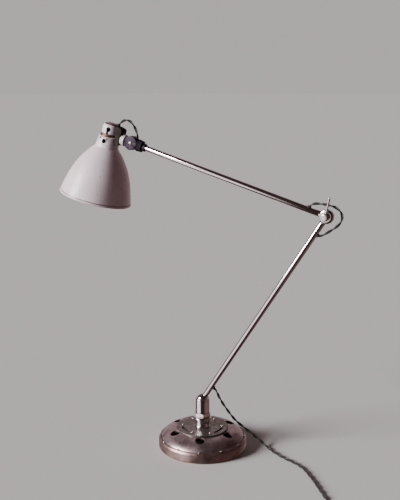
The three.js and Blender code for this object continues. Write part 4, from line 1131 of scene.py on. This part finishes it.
def make_lamp():
    low, top = NECK_LOW - 4, CAP_TOP - 8
    inside = low + 22
    grooves = []
    for k in range(4):
        z = low + 6 + 3.4 * k
        grooves += [(14.5, z), (13.9, z + 0.5), (13.9, z + 1.3), (14.5, z + 1.8)]
    holder = [
        (11.8, low), (14.1, low), (14.5, low + 0.4), *grooves, (14.5, NECK_TOP - 6), (13, NECK_TOP - 3),
        (13, top - 2), (10.5, top), (0, top), (0, inside), (11.8, inside),
    ]
    fit(turned("holder_body", holder, 96), "lampholder", PHENOLIC, SHADE_AXIS)
    outer = NECK_RADIUS - SHADE_WALL - 0.3
    inner, foot, brow = outer - 1.2, NECK_TOP - SEAM_DROP - 4, NECK_TOP - 0.1
    ring = [
        (14.8, 1), (inner, 1), (inner, foot), (outer - 0.3, foot), (outer, foot + 0.3), (outer, brow - 0.4),
        (outer - 0.4, brow), (inner, brow), (inner, 3), (14.8, 3),
    ]
    fit(turned("gallery_ring", ring, 96), "holder_gallery", BRONZE, SHADE_AXIS)
    glass_top = low - 2
    cap = [
        (0, glass_top + 0.3), (10.6, glass_top + 0.3), (11, glass_top + 0.7), (11, inside - 3.5),
        (9.6, inside - 2), (0, inside - 2),
    ]
    fit(turned("lamp_collar", cap, 64), "lamp_cap", STEEL, SHADE_AXIS)
    centre = MOUTH + 54

    def globe(radius):
        round_part = arc(0, centre, radius, -90, 52, 30)
        round_part[0] = (0, centre - radius)
        x, z = round_part[-1]
        neck = radius - 19
        stem = bezier([(x, z), (x - 6.4, z + 5), (neck, glass_top - 7), (neck, glass_top)], 12)
        return [*round_part, *stem[1:]]

    fit(turned("lamp_globe", [*globe(30), *reversed(globe(29.1))], 96), "lamp_glass", OPAL, SHADE_AXIS)


make_base()
make_top_plate()
make_post()
make_arms()
make_elbow()
make_knuckle()
make_shell()
make_cap()
make_shade_mount()
make_lamp()


# -- CAD nodes that stay as they are --
KEPT = {
    "base_weight": IRON, "base_pad": CORK, "pivot_spindle": STEEL, "friction_cup": BRONZE,
    "cup_spring": STEEL, "friction_disc": BRONZE, "lower_arm_cord": RUBBER, "upper_arm_cord": RUBBER,
    "cord_sleeve": RUBBER,
}
for node, material in KEPT.items():
    slots = frame["nodes"][node].data.materials
    slots.clear()
    slots.append(material)


# -- Studio --
BACKDROP = (0.517, 0.484, 0.477, 1)
FLOOR_TONE = (0.7, 0.695, 0.685)
WINDOW = ((-0.93, -0.36, -0.2), ((0.78, (0.02, 0.011, 0.01)), (0.92, (1.5, 1.42, 1.44))))
BEHIND = ((0.1, 1.0, 0.05), ((0.45, (0.012, 0.008, 0.008)), (0.98, (0.62, 0.5, 0.5))))
RIGHT = ((0.9, -0.25, -0.35), ((0.6, (0.0, 0.0, 0.0)), (0.95, (0.14, 0.09, 0.085))))
KEY_FROM, KEY_STRENGTH, KEY_WIDTH, KEY_COLOUR = (-0.93, -0.34, 0.4), 5.4, 24, (1, 0.965, 0.975)


def make_world():
    """A pale backdrop for the camera; for light and reflections, a dark room with three soft glows."""
    world = bpy.data.worlds.new("studio")
    bpy.context.scene.world = world
    world.use_nodes = True
    room = Nodes(world.node_tree)
    coordinates = room.add("ShaderNodeTexCoord").outputs["Generated"]

    def glow(source, stops):
        facing = room.add("ShaderNodeVectorMath", operation="DOT_PRODUCT")
        room.link(coordinates, facing.inputs[0])
        facing.inputs[1].default_value = studio(*source).normalized()
        return room.ramp(facing.outputs["Value"], stops)

    def both(one, other):
        total = room.add("ShaderNodeVectorMath", operation="ADD")
        room.link(one, total.inputs[0])
        room.link(other, total.inputs[1])
        return total.outputs["Vector"]

    background = room.tree.nodes["Background"]
    room.link(both(both(glow(*WINDOW), glow(*BEHIND)), glow(*RIGHT)), background.inputs["Color"])
    backdrop = room.add("ShaderNodeBackground")
    room.set(backdrop, Color=BACKDROP)
    room.by_camera(backdrop.outputs[0], background.outputs[0], "World Output")


def make_key():
    """Even light from one side, from a source KEY_WIDTH degrees wide."""
    data = bpy.data.lights.new("key", "SUN")
    data.energy = KEY_STRENGTH
    data.angle = radians(KEY_WIDTH)
    data.color = KEY_COLOUR
    light = place("key", data)
    light.rotation_euler = studio(*KEY_FROM).to_track_quat("Z", "Y").to_euler()
    light.location = studio(*KEY_FROM)


def make_floor():
    """A pale floor for the camera. Other rays pass through it and meet the room's own light."""
    floor = turned("floor", [(0, -1), (30000, -1), (30000, 0), (0, 0)], 96)
    floor.matrix_world = shift(0, 0, -0.2)
    made = Recipe("pale_floor", roughness=0.8, Specular_IOR_Level=0.0)
    grain = made.noise(20)
    made.colour(made.mix(grain, FLOOR_TONE, tuple(1.03 * tone for tone in FLOOR_TONE)))
    through = made.add("ShaderNodeBsdfTransparent")
    made.by_camera(made.shader.outputs[0], through.outputs[0], "Material Output")
    floor.data.materials.append(made.material)


make_world()
make_key()
make_floor()
